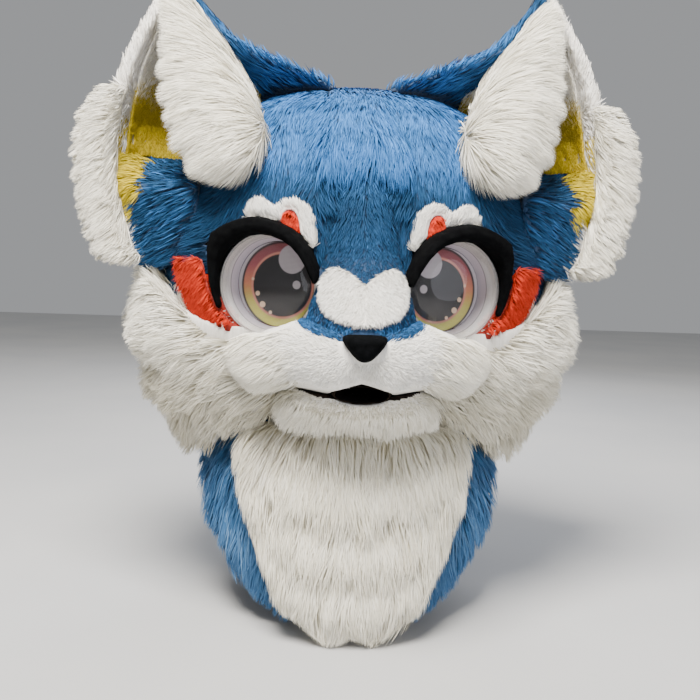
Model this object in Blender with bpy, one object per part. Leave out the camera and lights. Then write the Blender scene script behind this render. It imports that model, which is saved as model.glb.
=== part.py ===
"""A blue and white canine costume head with a neck ruff.

The face looks toward -Y, +X is the viewer's right and +Z is up. The origin is the ceiling of the hollow,
where the head rests on the crown of the wearer. Every size below is in millimetres and is turned to metres
when a mesh is made. "Left" is the wearer's left, at +X.
"""

import math
from collections import namedtuple

import bmesh
import bpy
from mathutils import Vector

MM = 0.001
GAP = 0.3  # clearance between pieces that touch
SLIVER = 0.08  # edges shorter than this are closed up
FLAT_ANGLE = 1.2  # degrees within which two faces count as one
VOLUME_SLACK = 0.0001  # share of the volume by which two ways to make the same cut may differ

# Driving sizes of the head

HEAD_SIDES = 32
HOLLOW_SIDES = 20
NECK_Z = -245
MARK_PILE = 4  # how far a shaved fur marking stands off the fur around it

Ring = namedtuple("Ring", "z half_width front back square")
HEAD = [
    Ring(NECK_Z, 112, 112, 112, 2.2),
    Ring(-222, 138, 127, 126, 2.3),
    Ring(-195, 163, 140, 142, 2.4),
    Ring(-160, 183, 149, 159, 2.6),
    Ring(-120, 192, 152, 167, 2.6),
    Ring(-80, 191, 151, 169, 2.6),
    Ring(-40, 182, 145, 166, 2.5),
    Ring(-5, 167, 135, 155, 2.4),
    Ring(28, 144, 117, 134, 2.3),
    Ring(52, 118, 96, 111, 2.2),
    Ring(66, 92, 74, 90, 2.1),
    Ring(74, 62, 50, 64, 2.0),
    Ring(77, 28, 24, 34, 2.0),
]
HOLLOW = [
    Ring(NECK_Z - 30, 88, 98, 104, 2.2),
    Ring(NECK_Z, 90, 99, 106, 2.2),
    Ring(-210, 100, 104, 112, 2.2),
    Ring(-150, 112, 108, 120, 2.2),
    Ring(-90, 112, 108, 120, 2.2),
    Ring(-45, 100, 98, 108, 2.1),
    Ring(-18, 74, 74, 82, 2.0),
    Ring(-4, 42, 42, 48, 2.0),
    Ring(0, 20, 20, 24, 2.0),
]

# The eyes: a clear dome over a white bowl with a printed plate at its bottom, in a round socket

EYE_CENTRE = (84.5, -144, -117)
EYE_TURN = 20  # degrees that each eye turns outward
EYE_RADIUS = 46
EYE_SIDES = 24
DOME_RISE = 18
DOME_WALL = 1.6
BOWL_FRONT = -4
BOWL_BACK = -27
BOWL_WALL = 2
BOWL_BACK_RADIUS = 41
PRINT_THICK = 1.5
SOCKET_DEPTH = 75
DOME_LEVELS = 3

LidStation = namedtuple("LidStation", "step inner_u inner_v outer_u outer_v front")
EYELID = [
    LidStation(0, -46, 1, -49, 5, 10),
    LidStation(1, -42, 12, -47, 16, 14),
    LidStation(2, -33, 26, -39, 34, 16),
    LidStation(3, -20, 37, -26, 48, 17),
    LidStation(4, -2, 43, -5, 57, 17),
    LidStation(5, 16, 42, 15, 59, 16),
    LidStation(6, 31, 34, 35, 54, 14),
    LidStation(7, 40, 24, 55, 43, 11),
    LidStation(8, 44, 11, 56, 19, 10),
    LidStation(9, 45, -6, 53, -4, 9),
    LidStation(10, 42, -21, 46, -24, 6),
]
LID_BACK = -9

# The muzzle, jaw, mouth, nose and bridge

Slab = namedtuple("Slab", "y half_width top bottom square")
MUZZLE = [
    Slab(-215, 14, -162, -191, 2.0),
    Slab(-211, 30, -157, -199, 2.1),
    Slab(-203, 46, -151, -205, 2.2),
    Slab(-190, 63, -146, -208, 2.3),
    Slab(-173, 80, -142, -210, 2.3),
    Slab(-152, 95, -140, -212, 2.3),
    Slab(-124, 106, -140, -212, 2.3),
]
JAW = [
    Slab(-197, 18, -204, -221, 2.0),
    Slab(-193, 34, -203, -224, 2.0),
    Slab(-183, 50, -201, -227, 2.1),
    Slab(-166, 62, -199, -231, 2.2),
    Slab(-140, 70, -198, -241, 2.2),
    Slab(-112, 74, -198, -244, 2.2),
]
MUZZLE_SIDES = 18
MUZZLE_NOTCH = 10  # rise of the lip line between the two lobes
MUZZLE_CLEFT = 5  # depth of the upright groove between the lobes
MOUTH_CENTRE = (0, -186, -205)
MOUTH_RADII = (27, 36, 9)
MOUTH_WALL = 1.5
NOSE_CENTRE = (0, -213, -164)
NOSE_SIZE = (41, 22, 23)
NOSE_OUTLINE = [(-0.46, 0.26), (-0.30, 0.46), (0.30, 0.46), (0.46, 0.26), (0.15, -0.44), (-0.15, -0.44)]
NOSE_LEVELS = [(-0.5, 0.5), (-0.4, 0.78), (-0.15, 0.96), (0.5, 1.0)]

Ridge = namedtuple("Ridge", "z half_width front")
BRIDGE = [
    Ridge(-161, 34, -206),
    Ridge(-156, 46, -209),
    Ridge(-147, 53, -205),
    Ridge(-132, 53, -195),
    Ridge(-112, 48, -182),
    Ridge(-88, 42, -169),
    Ridge(-62, 38, -159),
    Ridge(-36, 32, -151),
    Ridge(-10, 22, -139),
]
BRIDGE_ROOT_Y = -120

# Outlines of the flat markings as seen from the front, (x, z), for the wearer's left or for the middle

BRIDGE_PATCH = [
    (0, -114), (10, -106), (23, -100), (34, -106), (38, -119), (35, -133), (24, -142), (0, -147),
    (-24, -142), (-35, -133), (-38, -119), (-34, -106), (-23, -100), (-10, -106),
]
BROW_PATCH = [
    (46, -88), (42, -70), (47, -53), (58, -45), (69, -46), (77, -52), (86, -46), (96, -45), (104, -55),
    (100, -68), (74, -74),
]
BROW_SPOT = [(68, -52), (71, -58), (68, -68), (61, -79), (57, -82), (56, -74), (58, -60), (62, -53)]
CHEEK_MARK = [
    (170, -98), (158, -96), (144, -97), (140, -113), (132, -133), (118, -150), (104, -158), (113, -163),
    (130, -160), (146, -150), (158, -134), (166, -116),
]

# The ears: a cupped shell, a lining inside it, long fur on the outer rim and a tuft in front

EarRing = namedtuple(
    "EarRing", "z rim_x rim_y side_x side_y back_x back_y inner_x inner_y medial_x medial_y medial_wall fill"
)
EAR = [
    EarRing(-104, 210, -70, 206, -46, 196, -14, 180, 10, 160, 0, 13, 1),
    EarRing(-90, 227, -64, 219, -33, 204, 2, 181, 20, 155, 3, 13, 1),
    EarRing(-66, 236, -60, 227, -25, 210, 12, 182, 30, 150, 5, 13, 1),
    EarRing(-30, 246, -56, 237, -12, 214, 30, 180, 45, 145, 10, 13, 1),
    EarRing(5, 250, -52, 241, -4, 214, 42, 175, 52, 130, 20, 13, 0.25),
    EarRing(40, 247, -50, 238, -1, 209, 43, 165, 47, 90, 0, 22, 0),
    EarRing(62, 243, -47, 233, -3, 204, 38, 155, 38, 8, -24, 40, 0),
    EarRing(76, 240, -45, 230, -5, 202, 34, 150, 30, 20, -34, 44, 0),
    EarRing(85, 238, -44, 228, -6, 200, 31, 148, 26, 45, -38, 44, 0),
    EarRing(95, 235, -42, 225, -8, 198, 26, 150, 20, 70, -40, 40, 0),
    EarRing(118, 225, -38, 216, -10, 192, 14, 160, 7, 122, -37, 24, 0),
    EarRing(140, 214, -34, 207, -13, 190, 3, 170, -3, 146, -32, 16, 0),
    EarRing(163, 202, -28, 197, -16, 188, -7, 179, -10, 165, -25, 10, 0),
    EarRing(184, 191, -22, 189, -18, 186, -15, 183, -16, 177, -20, 5, 0),
]
TEMPLE_X = 150  # where the filled foot of the ear meets the side of the face
TEMPLE_Y = -108
EAR_WALL = 13
EAR_STEPS = 2  # columns between two named points of an ear ring
LINING_WALL = 2.5
LINING_ROWS = (4, 12)  # first and last row of the ear table that the lining covers

RimLock = namedtuple("RimLock", "z x y reach")
RIM_FUR = [
    RimLock(-98, 218, -68, 18),
    RimLock(-88, 228, -64, 24),
    RimLock(-66, 236, -61, 27),
    RimLock(-30, 245, -57, 28),
    RimLock(5, 249, -53, 28),
    RimLock(40, 246, -51, 26),
    RimLock(56, 243, -49, 20),
    RimLock(66, 241, -48, 8),
]
RIM_LOCK_PITCH = 9
RIM_FUR_DEPTH = 14
RIM_FUR_STAND = 1

TuftRow = namedtuple("TuftRow", "z root_x root_y tip_x tip_y thick")
TUFT = [
    TuftRow(-22, 112, -132, 128, -126, 8),
    TuftRow(-10, 98, -132, 154, -114, 18),
    TuftRow(10, 88, -124, 168, -100, 26),
    TuftRow(32, 90, -110, 178, -90, 28),
    TuftRow(60, 102, -84, 186, -76, 27),
    TuftRow(90, 120, -62, 189, -62, 24),
    TuftRow(118, 140, -50, 190, -52, 18),
    TuftRow(145, 160, -40, 191, -42, 12),
    TuftRow(162, 173, -34, 189, -34, 7),
]
TUFT_LOCK_PITCH = 11

# The fur walls: locks laid in rows like shingles on a backing

CheekEdge = namedtuple("CheekEdge", "angle top bottom thick")
CHEEK = [
    CheekEdge(18, -160, -232, 4),
    CheekEdge(30, -152, -246, 7),
    CheekEdge(46, -147, -266, 12),
    CheekEdge(58, -137, -284, 22),
    CheekEdge(70, -115, -290, 34),
    CheekEdge(82, -107, -284, 40),
    CheekEdge(96, -107, -270, 36),
    CheekEdge(112, -112, -254, 22),
    CheekEdge(126, -124, -238, 8),
]
CHEEK_FULL_Z = -140  # below here the fluff hangs as a curtain that draws in more and more
CHEEK_DRAW_IN = 0.06
CHEEK_CURL_IN = 0.0022
CHEEK_ROOT_Z = -234  # its underside slopes down and out from here
CHEEK_SINK = 8  # depth of its form inside the head, before the head is cut from it
CHEEK_COLUMNS = 14
CHEEK_ROWS = 3
CHEEK_TIP = 14  # how far the point of a lock hangs below its sides

RuffEdge = namedtuple("RuffEdge", "angle hem thick")
RUFF = [
    RuffEdge(0, -428, 3),
    RuffEdge(20, -438, 5),
    RuffEdge(28, -440, 8),
    RuffEdge(41, -416, 16),
    RuffEdge(52, -388, 25),
    RuffEdge(63, -352, 30),
    RuffEdge(77, -324, 32),
    RuffEdge(92, -308, 32),
    RuffEdge(140, -328, 30),
    RuffEdge(180, -346, 30),
]
RUFF_COLUMNS = 28
RUFF_ROWS = 3
RUFF_TIP = 12
RUFF_BACKING = 6
RUFF_BASE = [
    Ring(-460, 122, 126, 122, 2.1),
    Ring(-380, 124, 128, 124, 2.1),
    Ring(-310, 121, 124, 122, 2.1),
    Ring(-275, 115, 116, 116, 2.1),
    Ring(NECK_Z, 104, 106, 107, 2.1),
]

BibEdge = namedtuple("BibEdge", "angle hem thick")
BIB = [
    BibEdge(0, -438, 28),
    BibEdge(12, -433, 27),
    BibEdge(22, -404, 25),
    BibEdge(28, -370, 22),
    BibEdge(34, -332, 18),
    BibEdge(42, -296, 13),
    BibEdge(47, -262, 6),
]
BIB_COLUMNS = 14
BIB_ROWS = 4
BIB_TIP = 14
BIB_STAND = 1.2  # clearance of the bib's back over the curved front of the ruff

LOCK_STEPS = 2  # grid rows from the root of a lock to its tip
LOCK_GAP = 0.7  # clearance round the sharp tips of locks, which grow less than their sides
LOCK_ROOT = 0.6  # thickness at a lock's root, as a share of the thickness at its tip

BLUE = (0.06, 0.16, 0.37)
WHITE = (0.83, 0.80, 0.74)
CREAM = (0.72, 0.62, 0.22)
RED = (0.61, 0.03, 0.012)
BLACK = (0.004, 0.004, 0.005)
IRIS = (0.22, 0.12, 0.07)
CLEAR = (0.80, 0.80, 0.82)


# Collections and materials


def clear_scene():
    for obj in list(bpy.data.objects):
        bpy.data.objects.remove(obj)


def new_collection(name):
    collection = bpy.data.collections.new(name)
    bpy.context.scene.collection.children.link(collection)
    return collection


def material(name, colour, roughness, metallic=0.0, alpha=1.0):
    made = bpy.data.materials.new(name)
    made.use_nodes = True
    shader = made.node_tree.nodes["Principled BSDF"]
    shader.inputs["Base Color"].default_value = (*colour, 1)
    shader.inputs["Roughness"].default_value = roughness
    shader.inputs["Metallic"].default_value = metallic
    shader.inputs["Alpha"].default_value = alpha
    made.diffuse_color = (*colour, alpha)
    return made


clear_scene()
PARTS = new_collection("costume_head")
CUTTERS = new_collection("cutters")


# Tables and curves


def along(rows, at):
    """The row of a table at this place, read smoothly between the rows that are given."""
    keys = [row[0] for row in rows]
    at = min(max(at, keys[0]), keys[-1])
    i = min(max(k for k, key in enumerate(keys) if key <= at), len(rows) - 2)
    span = keys[i + 1] - keys[i]
    t = (at - keys[i]) / span

    def slope(k, column):
        low, high = max(k - 1, 0), min(k + 1, len(rows) - 1)
        return (rows[high][column] - rows[low][column]) / (keys[high] - keys[low])

    def value(column):
        start, end = rows[i][column], rows[i + 1][column]
        m0, m1 = slope(i, column) * span, slope(i + 1, column) * span
        return (
            start * (2 * t**3 - 3 * t**2 + 1)
            + m0 * (t**3 - 2 * t**2 + t)
            + end * (3 * t**2 - 2 * t**3)
            + m1 * (t**3 - t**2)
        )

    return type(rows[0])(at, *(value(column) for column in range(1, len(rows[0]))))


def smooth_loop(points, steps):
    """A closed smooth curve through flat points, with this many steps from each point to the next."""
    found = []
    for i in range(len(points)):
        p0, p1, p2, p3 = (Vector(points[(i + k) % len(points)]) for k in (-1, 0, 1, 2))
        for step in range(steps):
            t = step / steps
            found.append(0.5 * (2 * p1 + (p2 - p0) * t + (2 * p0 - 5 * p1 + 4 * p2 - p3) * t**2
                                + (3 * p1 - p0 - 3 * p2 + p3) * t**3))
    return found


def smooth_path(points, steps):
    """An open smooth curve through points, ends included."""
    padded = [2 * Vector(points[0]) - Vector(points[1])]
    padded += [Vector(point) for point in points]
    padded.append(2 * padded[-1] - padded[-2])
    found = []
    for i in range(1, len(padded) - 2):
        p0, p1, p2, p3 = padded[i - 1 : i + 3]
        for step in range(steps):
            t = step / steps
            found.append(0.5 * (2 * p1 + (p2 - p0) * t + (2 * p0 - 5 * p1 + 4 * p2 - p3) * t**2
                                + (3 * p1 - p0 - 3 * p2 + p3) * t**3))
    return found + [padded[-2]]


def power(value, exponent):
    return math.copysign(abs(value) ** exponent, value)


def ring_point(ring, angle, swell=0.0):
    """A point of a rounded-square ring. The angle is 0 at the face and 90 degrees at +X."""
    side, ahead = math.sin(angle), math.cos(angle)
    depth = ring.front if ahead > 0 else ring.back
    x = (ring.half_width + swell) * power(side, 2 / ring.square)
    y = -(depth + swell) * power(ahead, 2 / ring.square)
    return Vector((x, y, ring.z))


def turn(step, count):
    return 2 * math.pi * step / count


# Meshes


def mesh_object(name, points, faces, finish=None, collection=None):
    mesh = bpy.data.meshes.new(name)
    mesh.from_pydata([Vector(point) * MM for point in points], [], faces)
    work = bmesh.new()
    work.from_mesh(mesh)
    bmesh.ops.recalc_face_normals(work, faces=work.faces)
    if work.calc_volume(signed=True) < 0:
        bmesh.ops.reverse_faces(work, faces=work.faces)
    work.to_mesh(mesh)
    work.free()
    obj = bpy.data.objects.new(name, mesh)
    (collection or PARTS).objects.link(obj)
    if finish:
        mesh.materials.append(finish)
    return obj


def split(a, b, c, d):
    """A four-sided face as two triangles, always cut the same way, so forms that are offset stay parallel."""
    return [(a, b, c), (a, c, d)]


def loft(name, rings, finish=None, collection=None):
    """A closed solid through rings that all have the same number of points."""
    count = len(rings[0])
    faces = [tuple(reversed(range(count)))]
    for r in range(len(rings) - 1):
        for i in range(count):
            j = (i + 1) % count
            faces += split(r * count + i, r * count + j, (r + 1) * count + j, (r + 1) * count + i)
    faces.append(tuple((len(rings) - 1) * count + i for i in range(count)))
    return mesh_object(name, [point for ring in rings for point in ring], faces, finish, collection)


def wall_between(name, outer, inner, finish, round_about):
    """A closed wall between two grids of rows of points, a tube if it goes round about and else a plate."""
    rows, columns = len(outer), len(outer[0])
    size = rows * columns
    faces = []
    spans = columns if round_about else columns - 1
    for r in range(rows - 1):
        for i in range(spans):
            j = (i + 1) % columns
            quad = (r * columns + i, r * columns + j, (r + 1) * columns + j, (r + 1) * columns + i)
            faces += split(*quad)
            faces += split(*(size + k for k in reversed(quad)))
    for r in (0, rows - 1):
        for i in range(spans):
            j = (i + 1) % columns
            faces += split(r * columns + i, size + r * columns + i, size + r * columns + j, r * columns + j)
    if not round_about:
        for i in (0, columns - 1):
            for r in range(rows - 1):
                low, high = r * columns + i, (r + 1) * columns + i
                faces += split(low, high, size + high, size + low)
    points = [point for row in outer + inner for point in row]
    return mesh_object(name, points, faces, finish)


def bake(obj):
    """Replaces the object's mesh by the mesh that its modifiers make."""
    graph = bpy.context.evaluated_depsgraph_get()
    made = bpy.data.meshes.new_from_object(obj.evaluated_get(graph))
    obj.modifiers.clear()
    obj.data = made
    made.name = obj.name


def volume_of(mesh):
    """The volume of a closed mesh, or none if it has an open or a shared edge."""
    work = bmesh.new()
    work.from_mesh(mesh)
    closed = all(len(edge.link_faces) == 2 for edge in work.edges)
    volume = work.calc_volume(signed=True)
    work.free()
    return volume if closed else None


def boolean(obj, other, operation="DIFFERENCE"):
    """The exact solver opens or misses some cuts in these thin furry walls, so its mesh stands only where it
    is closed and as large as the one that the manifold solver makes.
    """
    before, made = obj.data, {}
    whole = volume_of(before)
    for solver in ("EXACT", "MANIFOLD"):
        obj.data = before
        modifier = obj.modifiers.new(operation.lower(), "BOOLEAN")
        modifier.object = other
        modifier.operation = operation
        modifier.solver = solver
        bake(obj)
        made[solver] = obj.data, volume_of(obj.data)
    exact, manifold = made["EXACT"], made["MANIFOLD"]
    if whole is None or (exact[1] and manifold[1] and abs(exact[1] - manifold[1]) < VOLUME_SLACK * whole):
        obj.data = exact[0]


def cut_clear(obj, *neighbours, by=GAP):
    """Cuts each neighbour, grown by the gap, from the object."""
    for neighbour in neighbours:
        cutter = grown(neighbour, by)
        boolean(obj, cutter)
        bpy.data.objects.remove(cutter)


def grown(obj, by=GAP):
    """A copy whose faces lie further out, used to cut its neighbours clear."""
    copy = bpy.data.objects.new(obj.name + "_grown", obj.data.copy())
    CUTTERS.objects.link(copy)
    as_cutter(copy)
    work = bmesh.new()
    work.from_mesh(copy.data)
    bmesh.ops.remove_doubles(work, verts=work.verts, dist=0.00001)
    work.normal_update()
    moves = [vertex.normal * by * MM * min(vertex.calc_shell_factor(), 2.5) for vertex in work.verts]
    for vertex, move in zip(work.verts, moves):
        vertex.co += move
    work.to_mesh(copy.data)
    work.free()
    return copy


def as_cutter(obj):
    obj.hide_render = True
    obj.display_type = "WIRE"
    return obj


def mirrored(obj, name):
    """The same piece on the wearer's right."""
    mesh = obj.data.copy()
    work = bmesh.new()
    work.from_mesh(mesh)
    for vertex in work.verts:
        vertex.co.x = -vertex.co.x
    bmesh.ops.reverse_faces(work, faces=work.faces)
    work.to_mesh(mesh)
    work.free()
    copy = bpy.data.objects.new(name, mesh)
    PARTS.objects.link(copy)
    return copy


def drop_crumbs(work):
    """Keeps the largest body. Faces belong together where they share an edge."""
    islands = []
    left = set(work.faces)
    while left:
        island, found = set(), [left.pop()]
        while found:
            face = found.pop()
            island.add(face)
            for edge in face.edges:
                for other in edge.link_faces:
                    if other in left:
                        left.discard(other)
                        found.append(other)
        islands.append(island)
    islands.sort(key=lambda island: sum(face.calc_area() for face in island))
    for island in islands[:-1]:
        bmesh.ops.delete(work, geom=list(island), context="FACES")


def tidied(obj):
    """Drops crumbs, joins faces of one plane, and closes up slivers, as far as the piece stays closed."""
    kept = None
    for short, flat in ((0, 0), (0, FLAT_ANGLE), (SLIVER * MM, FLAT_ANGLE)):
        work = bmesh.new()
        work.from_mesh(obj.data)
        drop_crumbs(work)
        if short:
            bmesh.ops.dissolve_degenerate(work, edges=work.edges, dist=short)
        if flat:
            bmesh.ops.dissolve_limit(work, angle_limit=math.radians(flat), verts=work.verts, edges=work.edges)
        bmesh.ops.triangulate(work, faces=work.faces)
        if kept is None or all(len(edge.link_faces) == 2 for edge in work.edges):
            kept = kept or obj.data.copy()
            work.to_mesh(kept)
        work.free()
    obj.data = kept


def finished(obj, angle=50):
    tidied(obj)
    obj.data.shade_smooth()
    obj.data.set_sharp_from_angle(angle=math.radians(angle))
    return obj


# Forms that cut


def stacked(table, swell, sides):
    """Rings up a table, swollen all round and past both ends."""
    rings = []
    for k, row in enumerate(table):
        lift = -swell if k == 0 else swell if k == len(table) - 1 else 0
        rings.append([ring_point(row, turn(i, sides), swell) + Vector((0, 0, lift)) for i in range(sides)])
    return rings


def head_form(swell):
    return as_cutter(loft("head_form", stacked(HEAD, swell, HEAD_SIDES), None, CUTTERS))


def hollow_form():
    return as_cutter(loft("hollow_form", stacked(HOLLOW, 0, HOLLOW_SIDES), None, CUTTERS))


def eye_axes():
    turned = math.radians(EYE_TURN)
    across = Vector((math.cos(turned), math.sin(turned), 0))
    outward = Vector((math.sin(turned), -math.cos(turned), 0))
    return Vector(EYE_CENTRE), across, Vector((0, 0, 1)), outward


def eye_point(u, v, w):
    """A point by the left eye: u away from the nose, v up, w out of the face."""
    centre, across, up, outward = eye_axes()
    return centre + across * u + up * v + outward * w


def eye_ring(radius, w):
    return [
        eye_point(radius * math.cos(turn(i, EYE_SIDES)), radius * math.sin(turn(i, EYE_SIDES)), w)
        for i in range(EYE_SIDES)
    ]


def dome_rings(swell=0.0):
    """The outer face of the dome, from its rim to a small flat at its top."""
    rings = []
    for level in range(DOME_LEVELS):
        tilt = math.radians(90 * (1 - level / DOME_LEVELS))
        rise = (DOME_RISE + swell) * math.cos(tilt)
        rings.append(eye_ring((EYE_RADIUS + swell) * math.sin(tilt), BOWL_FRONT + GAP + rise))
    rings.append(eye_ring(4 + swell, BOWL_FRONT + GAP + DOME_RISE + swell))
    return rings


def socket_form():
    """A round hole from in front of the face through to the hollow."""
    radius = EYE_RADIUS + GAP
    rings = [eye_ring(radius, -SOCKET_DEPTH), eye_ring(radius, 40)]
    return as_cutter(loft("socket_form", rings, None, CUTTERS))


def eye_form():
    """The whole eye, grown by the gap, used to cut what lies over its edge."""
    rings = [eye_ring(EYE_RADIUS + GAP, BOWL_BACK)] + dome_rings(GAP)
    return as_cutter(loft("eye_form", rings, None, CUTTERS))


def both_sides(form):
    other = mirrored(form, form.name + "_right")
    PARTS.objects.unlink(other)
    CUTTERS.objects.link(other)
    as_cutter(other)
    return form, other


def ellipsoid(name, centre, radii, finish=None, collection=None, sides=14, levels=6):
    rings = []
    for level in range(1, levels):
        tilt = math.pi * level / levels
        rings.append([
            Vector(centre) + Vector((
                radii[0] * math.sin(tilt) * math.cos(turn(i, sides)),
                -radii[1] * math.cos(tilt),
                radii[2] * math.sin(tilt) * math.sin(turn(i, sides)),
            ))
            for i in range(sides)
        ])
    return loft(name, rings, finish, collection)


def block_from_outline(outline, near_y, far_y):
    """The outline, seen from the front, carried straight back."""
    flat = smooth_loop(outline, 2)
    rings = [[Vector((point.x, y, point.y)) for point in flat] for y in (near_y, far_y)]
    return as_cutter(loft("outline_form", rings, None, CUTTERS))


# Head shell


def make_head_shell(sockets, mouth):
    shell = loft("head_shell", stacked(HEAD, 0, HEAD_SIDES), material("blue_short_fur", BLUE, 0.9))
    for form in (hollow_form(), *sockets, mouth):
        boolean(shell, form)
    return finished(shell)


# Muzzle, jaw, mouth, nose and bridge


def slab_ring(slab, lobes):
    """A ring in the plane of the face. Lobes lifts the lip line in the middle and folds in the groove."""
    middle, half = (slab.top + slab.bottom) / 2, (slab.top - slab.bottom) / 2
    ring = []
    for i in range(MUZZLE_SIDES):
        across, up = math.sin(turn(i, MUZZLE_SIDES)), math.cos(turn(i, MUZZLE_SIDES))
        x = slab.half_width * power(across, 2 / slab.square)
        z = middle + half * power(up, 2 / slab.square)
        inmost = math.exp(-((x / 13) ** 2))
        low = max(0.0, (middle - z) / half)
        lift = lobes * MUZZLE_NOTCH * inmost * low
        ring.append(Vector((x, slab.y + lobes * MUZZLE_CLEFT * inmost * low, z + lift)))
    return ring


def make_muzzle(head, sockets, mouth, bridge):
    muzzle = loft("muzzle", [slab_ring(slab, 1) for slab in MUZZLE], material("white_shaved_fur", WHITE, 0.9))
    for form in (head, *sockets, mouth):
        boolean(muzzle, form)
    cut_clear(muzzle, bridge)
    return finished(muzzle)


def make_jaw(head, muzzle, mouth):
    jaw = loft("lower_jaw", [slab_ring(slab, 0) for slab in JAW], material("white_jaw_fur", WHITE, 0.9))
    boolean(jaw, head)
    boolean(jaw, mouth)
    cut_clear(jaw, muzzle)
    return finished(jaw)


def make_mouth_lining():
    """A black cup in the mouth, open in front."""
    radii = [radius - GAP for radius in MOUTH_RADII]
    lining = ellipsoid("mouth_lining", MOUTH_CENTRE, radii, material("black_mouth_cloth", BLACK, 0.8))
    inside = ellipsoid("mouth_inside", MOUTH_CENTRE, [radius - MOUTH_WALL for radius in radii], None, CUTTERS)
    boolean(lining, as_cutter(inside))
    front = MOUTH_CENTRE[1] - MOUTH_RADII[1] / 3
    opening = [[Vector((x, y, z)) for x, z in ((-60, -260), (60, -260), (60, -160), (-60, -160))]
               for y in (-260, front)]
    boolean(lining, as_cutter(loft("mouth_front", opening, None, CUTTERS)))
    return finished(lining)


def make_nose(muzzle, bridge):
    """A rounded triangle with its point down, drawn in toward the front."""
    width, depth, height = NOSE_SIZE
    flat = smooth_loop(NOSE_OUTLINE, 3)
    rings = []
    for y, share in NOSE_LEVELS:
        rings.append([
            Vector(NOSE_CENTRE) + Vector((point.x * width * share, y * depth, point.y * height * share))
            for point in flat
        ])
    nose = loft("nose", rings, material("black_nose_fleece", BLACK, 0.65))
    cut_clear(nose, muzzle, bridge)
    return finished(nose)


def bridge_ring(ridge, swell=0.0):
    """Half an oval that stands off the face between the eyes, with a flat back inside the head."""
    depth = BRIDGE_ROOT_Y - ridge.front + swell
    half = ridge.half_width + swell
    ring = []
    for step in range(13):
        angle = math.pi * step / 12
        x = half * power(math.cos(angle), 0.9)
        ring.append(Vector((x, BRIDGE_ROOT_Y - depth * math.sin(angle), ridge.z)))
    return ring


def bridge_form(swell):
    rings = []
    for k, ridge in enumerate(BRIDGE):
        lift = -swell if k == 0 else swell if k == len(BRIDGE) - 1 else 0
        rings.append([point + Vector((0, 0, lift)) for point in bridge_ring(ridge, swell)])
    return loft("bridge_form", rings, None, CUTTERS)


def make_bridge(head, sockets):
    rings = [bridge_ring(ridge) for ridge in BRIDGE]
    bridge = loft("nose_bridge", rings, material("blue_bridge_fur", BLUE, 0.9))
    for form in (head, *sockets):
        boolean(bridge, form)
    return finished(bridge)


def make_bridge_patch():
    """The part of a slightly swollen bridge that lies inside the outline."""
    patch = bridge_form(MARK_PILE)
    patch.name = "bridge_patch"
    CUTTERS.objects.unlink(patch)
    PARTS.objects.link(patch)
    patch.data.materials.append(material("white_patch_fur", WHITE, 0.9))
    boolean(patch, block_from_outline(BRIDGE_PATCH, -260, -140), "INTERSECT")
    boolean(patch, as_cutter(bridge_form(GAP)))
    return finished(patch)


# Eyes


def make_eye_dome():
    """A clear dome: one curved sheet with a wall, open behind."""
    outer = dome_rings()
    inner = []
    for level, ring in enumerate(outer):
        centre = sum(ring, Vector()) / len(ring)
        shrink = 1 - DOME_WALL / EYE_RADIUS
        back = eye_axes()[3] * (DOME_WALL if level else 0)
        inner.append([centre + (point - centre) * shrink - back for point in ring])
    points = [point for ring in outer + inner for point in ring]
    size = len(outer) * EYE_SIDES
    faces = []
    for r in range(len(outer) - 1):
        for i in range(EYE_SIDES):
            j = (i + 1) % EYE_SIDES
            quad = (r * EYE_SIDES + i, r * EYE_SIDES + j, (r + 1) * EYE_SIDES + j, (r + 1) * EYE_SIDES + i)
            faces.append(quad)
            faces.append(tuple(size + k for k in reversed(quad)))
    for i in range(EYE_SIDES):
        j = (i + 1) % EYE_SIDES
        faces.append((i, size + i, size + j, j))
    faces.append(tuple(size - EYE_SIDES + i for i in range(EYE_SIDES)))
    faces.append(tuple(2 * size - EYE_SIDES + i for i in reversed(range(EYE_SIDES))))
    clear = material("clear_dome", CLEAR, 0.03, alpha=0.25)
    return finished(mesh_object("eye_dome_left", points, faces, clear))


def make_eye_bowl():
    """The white side wall of the eye, open at both ends."""
    outer = [eye_ring(EYE_RADIUS, BOWL_FRONT), eye_ring(BOWL_BACK_RADIUS, BOWL_BACK)]
    inner = [eye_ring(EYE_RADIUS - BOWL_WALL, BOWL_FRONT), eye_ring(BOWL_BACK_RADIUS - BOWL_WALL, BOWL_BACK)]
    return finished(wall_between("eye_bowl_left", outer, inner, material("white_eye_wall", CLEAR, 0.4), True))


def make_eye_print():
    radius = BOWL_BACK_RADIUS - BOWL_WALL - 2 * GAP
    rings = [eye_ring(radius, BOWL_BACK), eye_ring(radius, BOWL_BACK + PRINT_THICK)]
    return finished(loft("eye_print_left", rings, material("printed_iris_mesh", IRIS, 0.7)))


def lid_ring(station):
    """A rounded band from the inner edge of the lid to its outer edge."""
    shape = ((0.02, 0.0), (0.0, 0.62), (0.14, 0.93), (0.5, 1.0), (0.86, 0.88), (1.0, 0.5), (0.98, 0.0))
    ring = []
    for across, out in shape:
        u = station.inner_u + (station.outer_u - station.inner_u) * across
        v = station.inner_v + (station.outer_v - station.inner_v) * across
        ring.append(eye_point(u, v, LID_BACK + (station.front - LID_BACK) * out))
    return ring


def make_eyelid(head, eye, bridge):
    steps = 16
    last = EYELID[-1].step
    rings = [lid_ring(along(EYELID, last * step / steps)) for step in range(steps + 1)]
    lid = loft("eyelid_left", rings, material("black_lid_fleece", BLACK, 0.9))
    boolean(lid, head)
    boolean(lid, eye)
    cut_clear(lid, bridge)
    return finished(lid)


# Markings on the face


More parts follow.
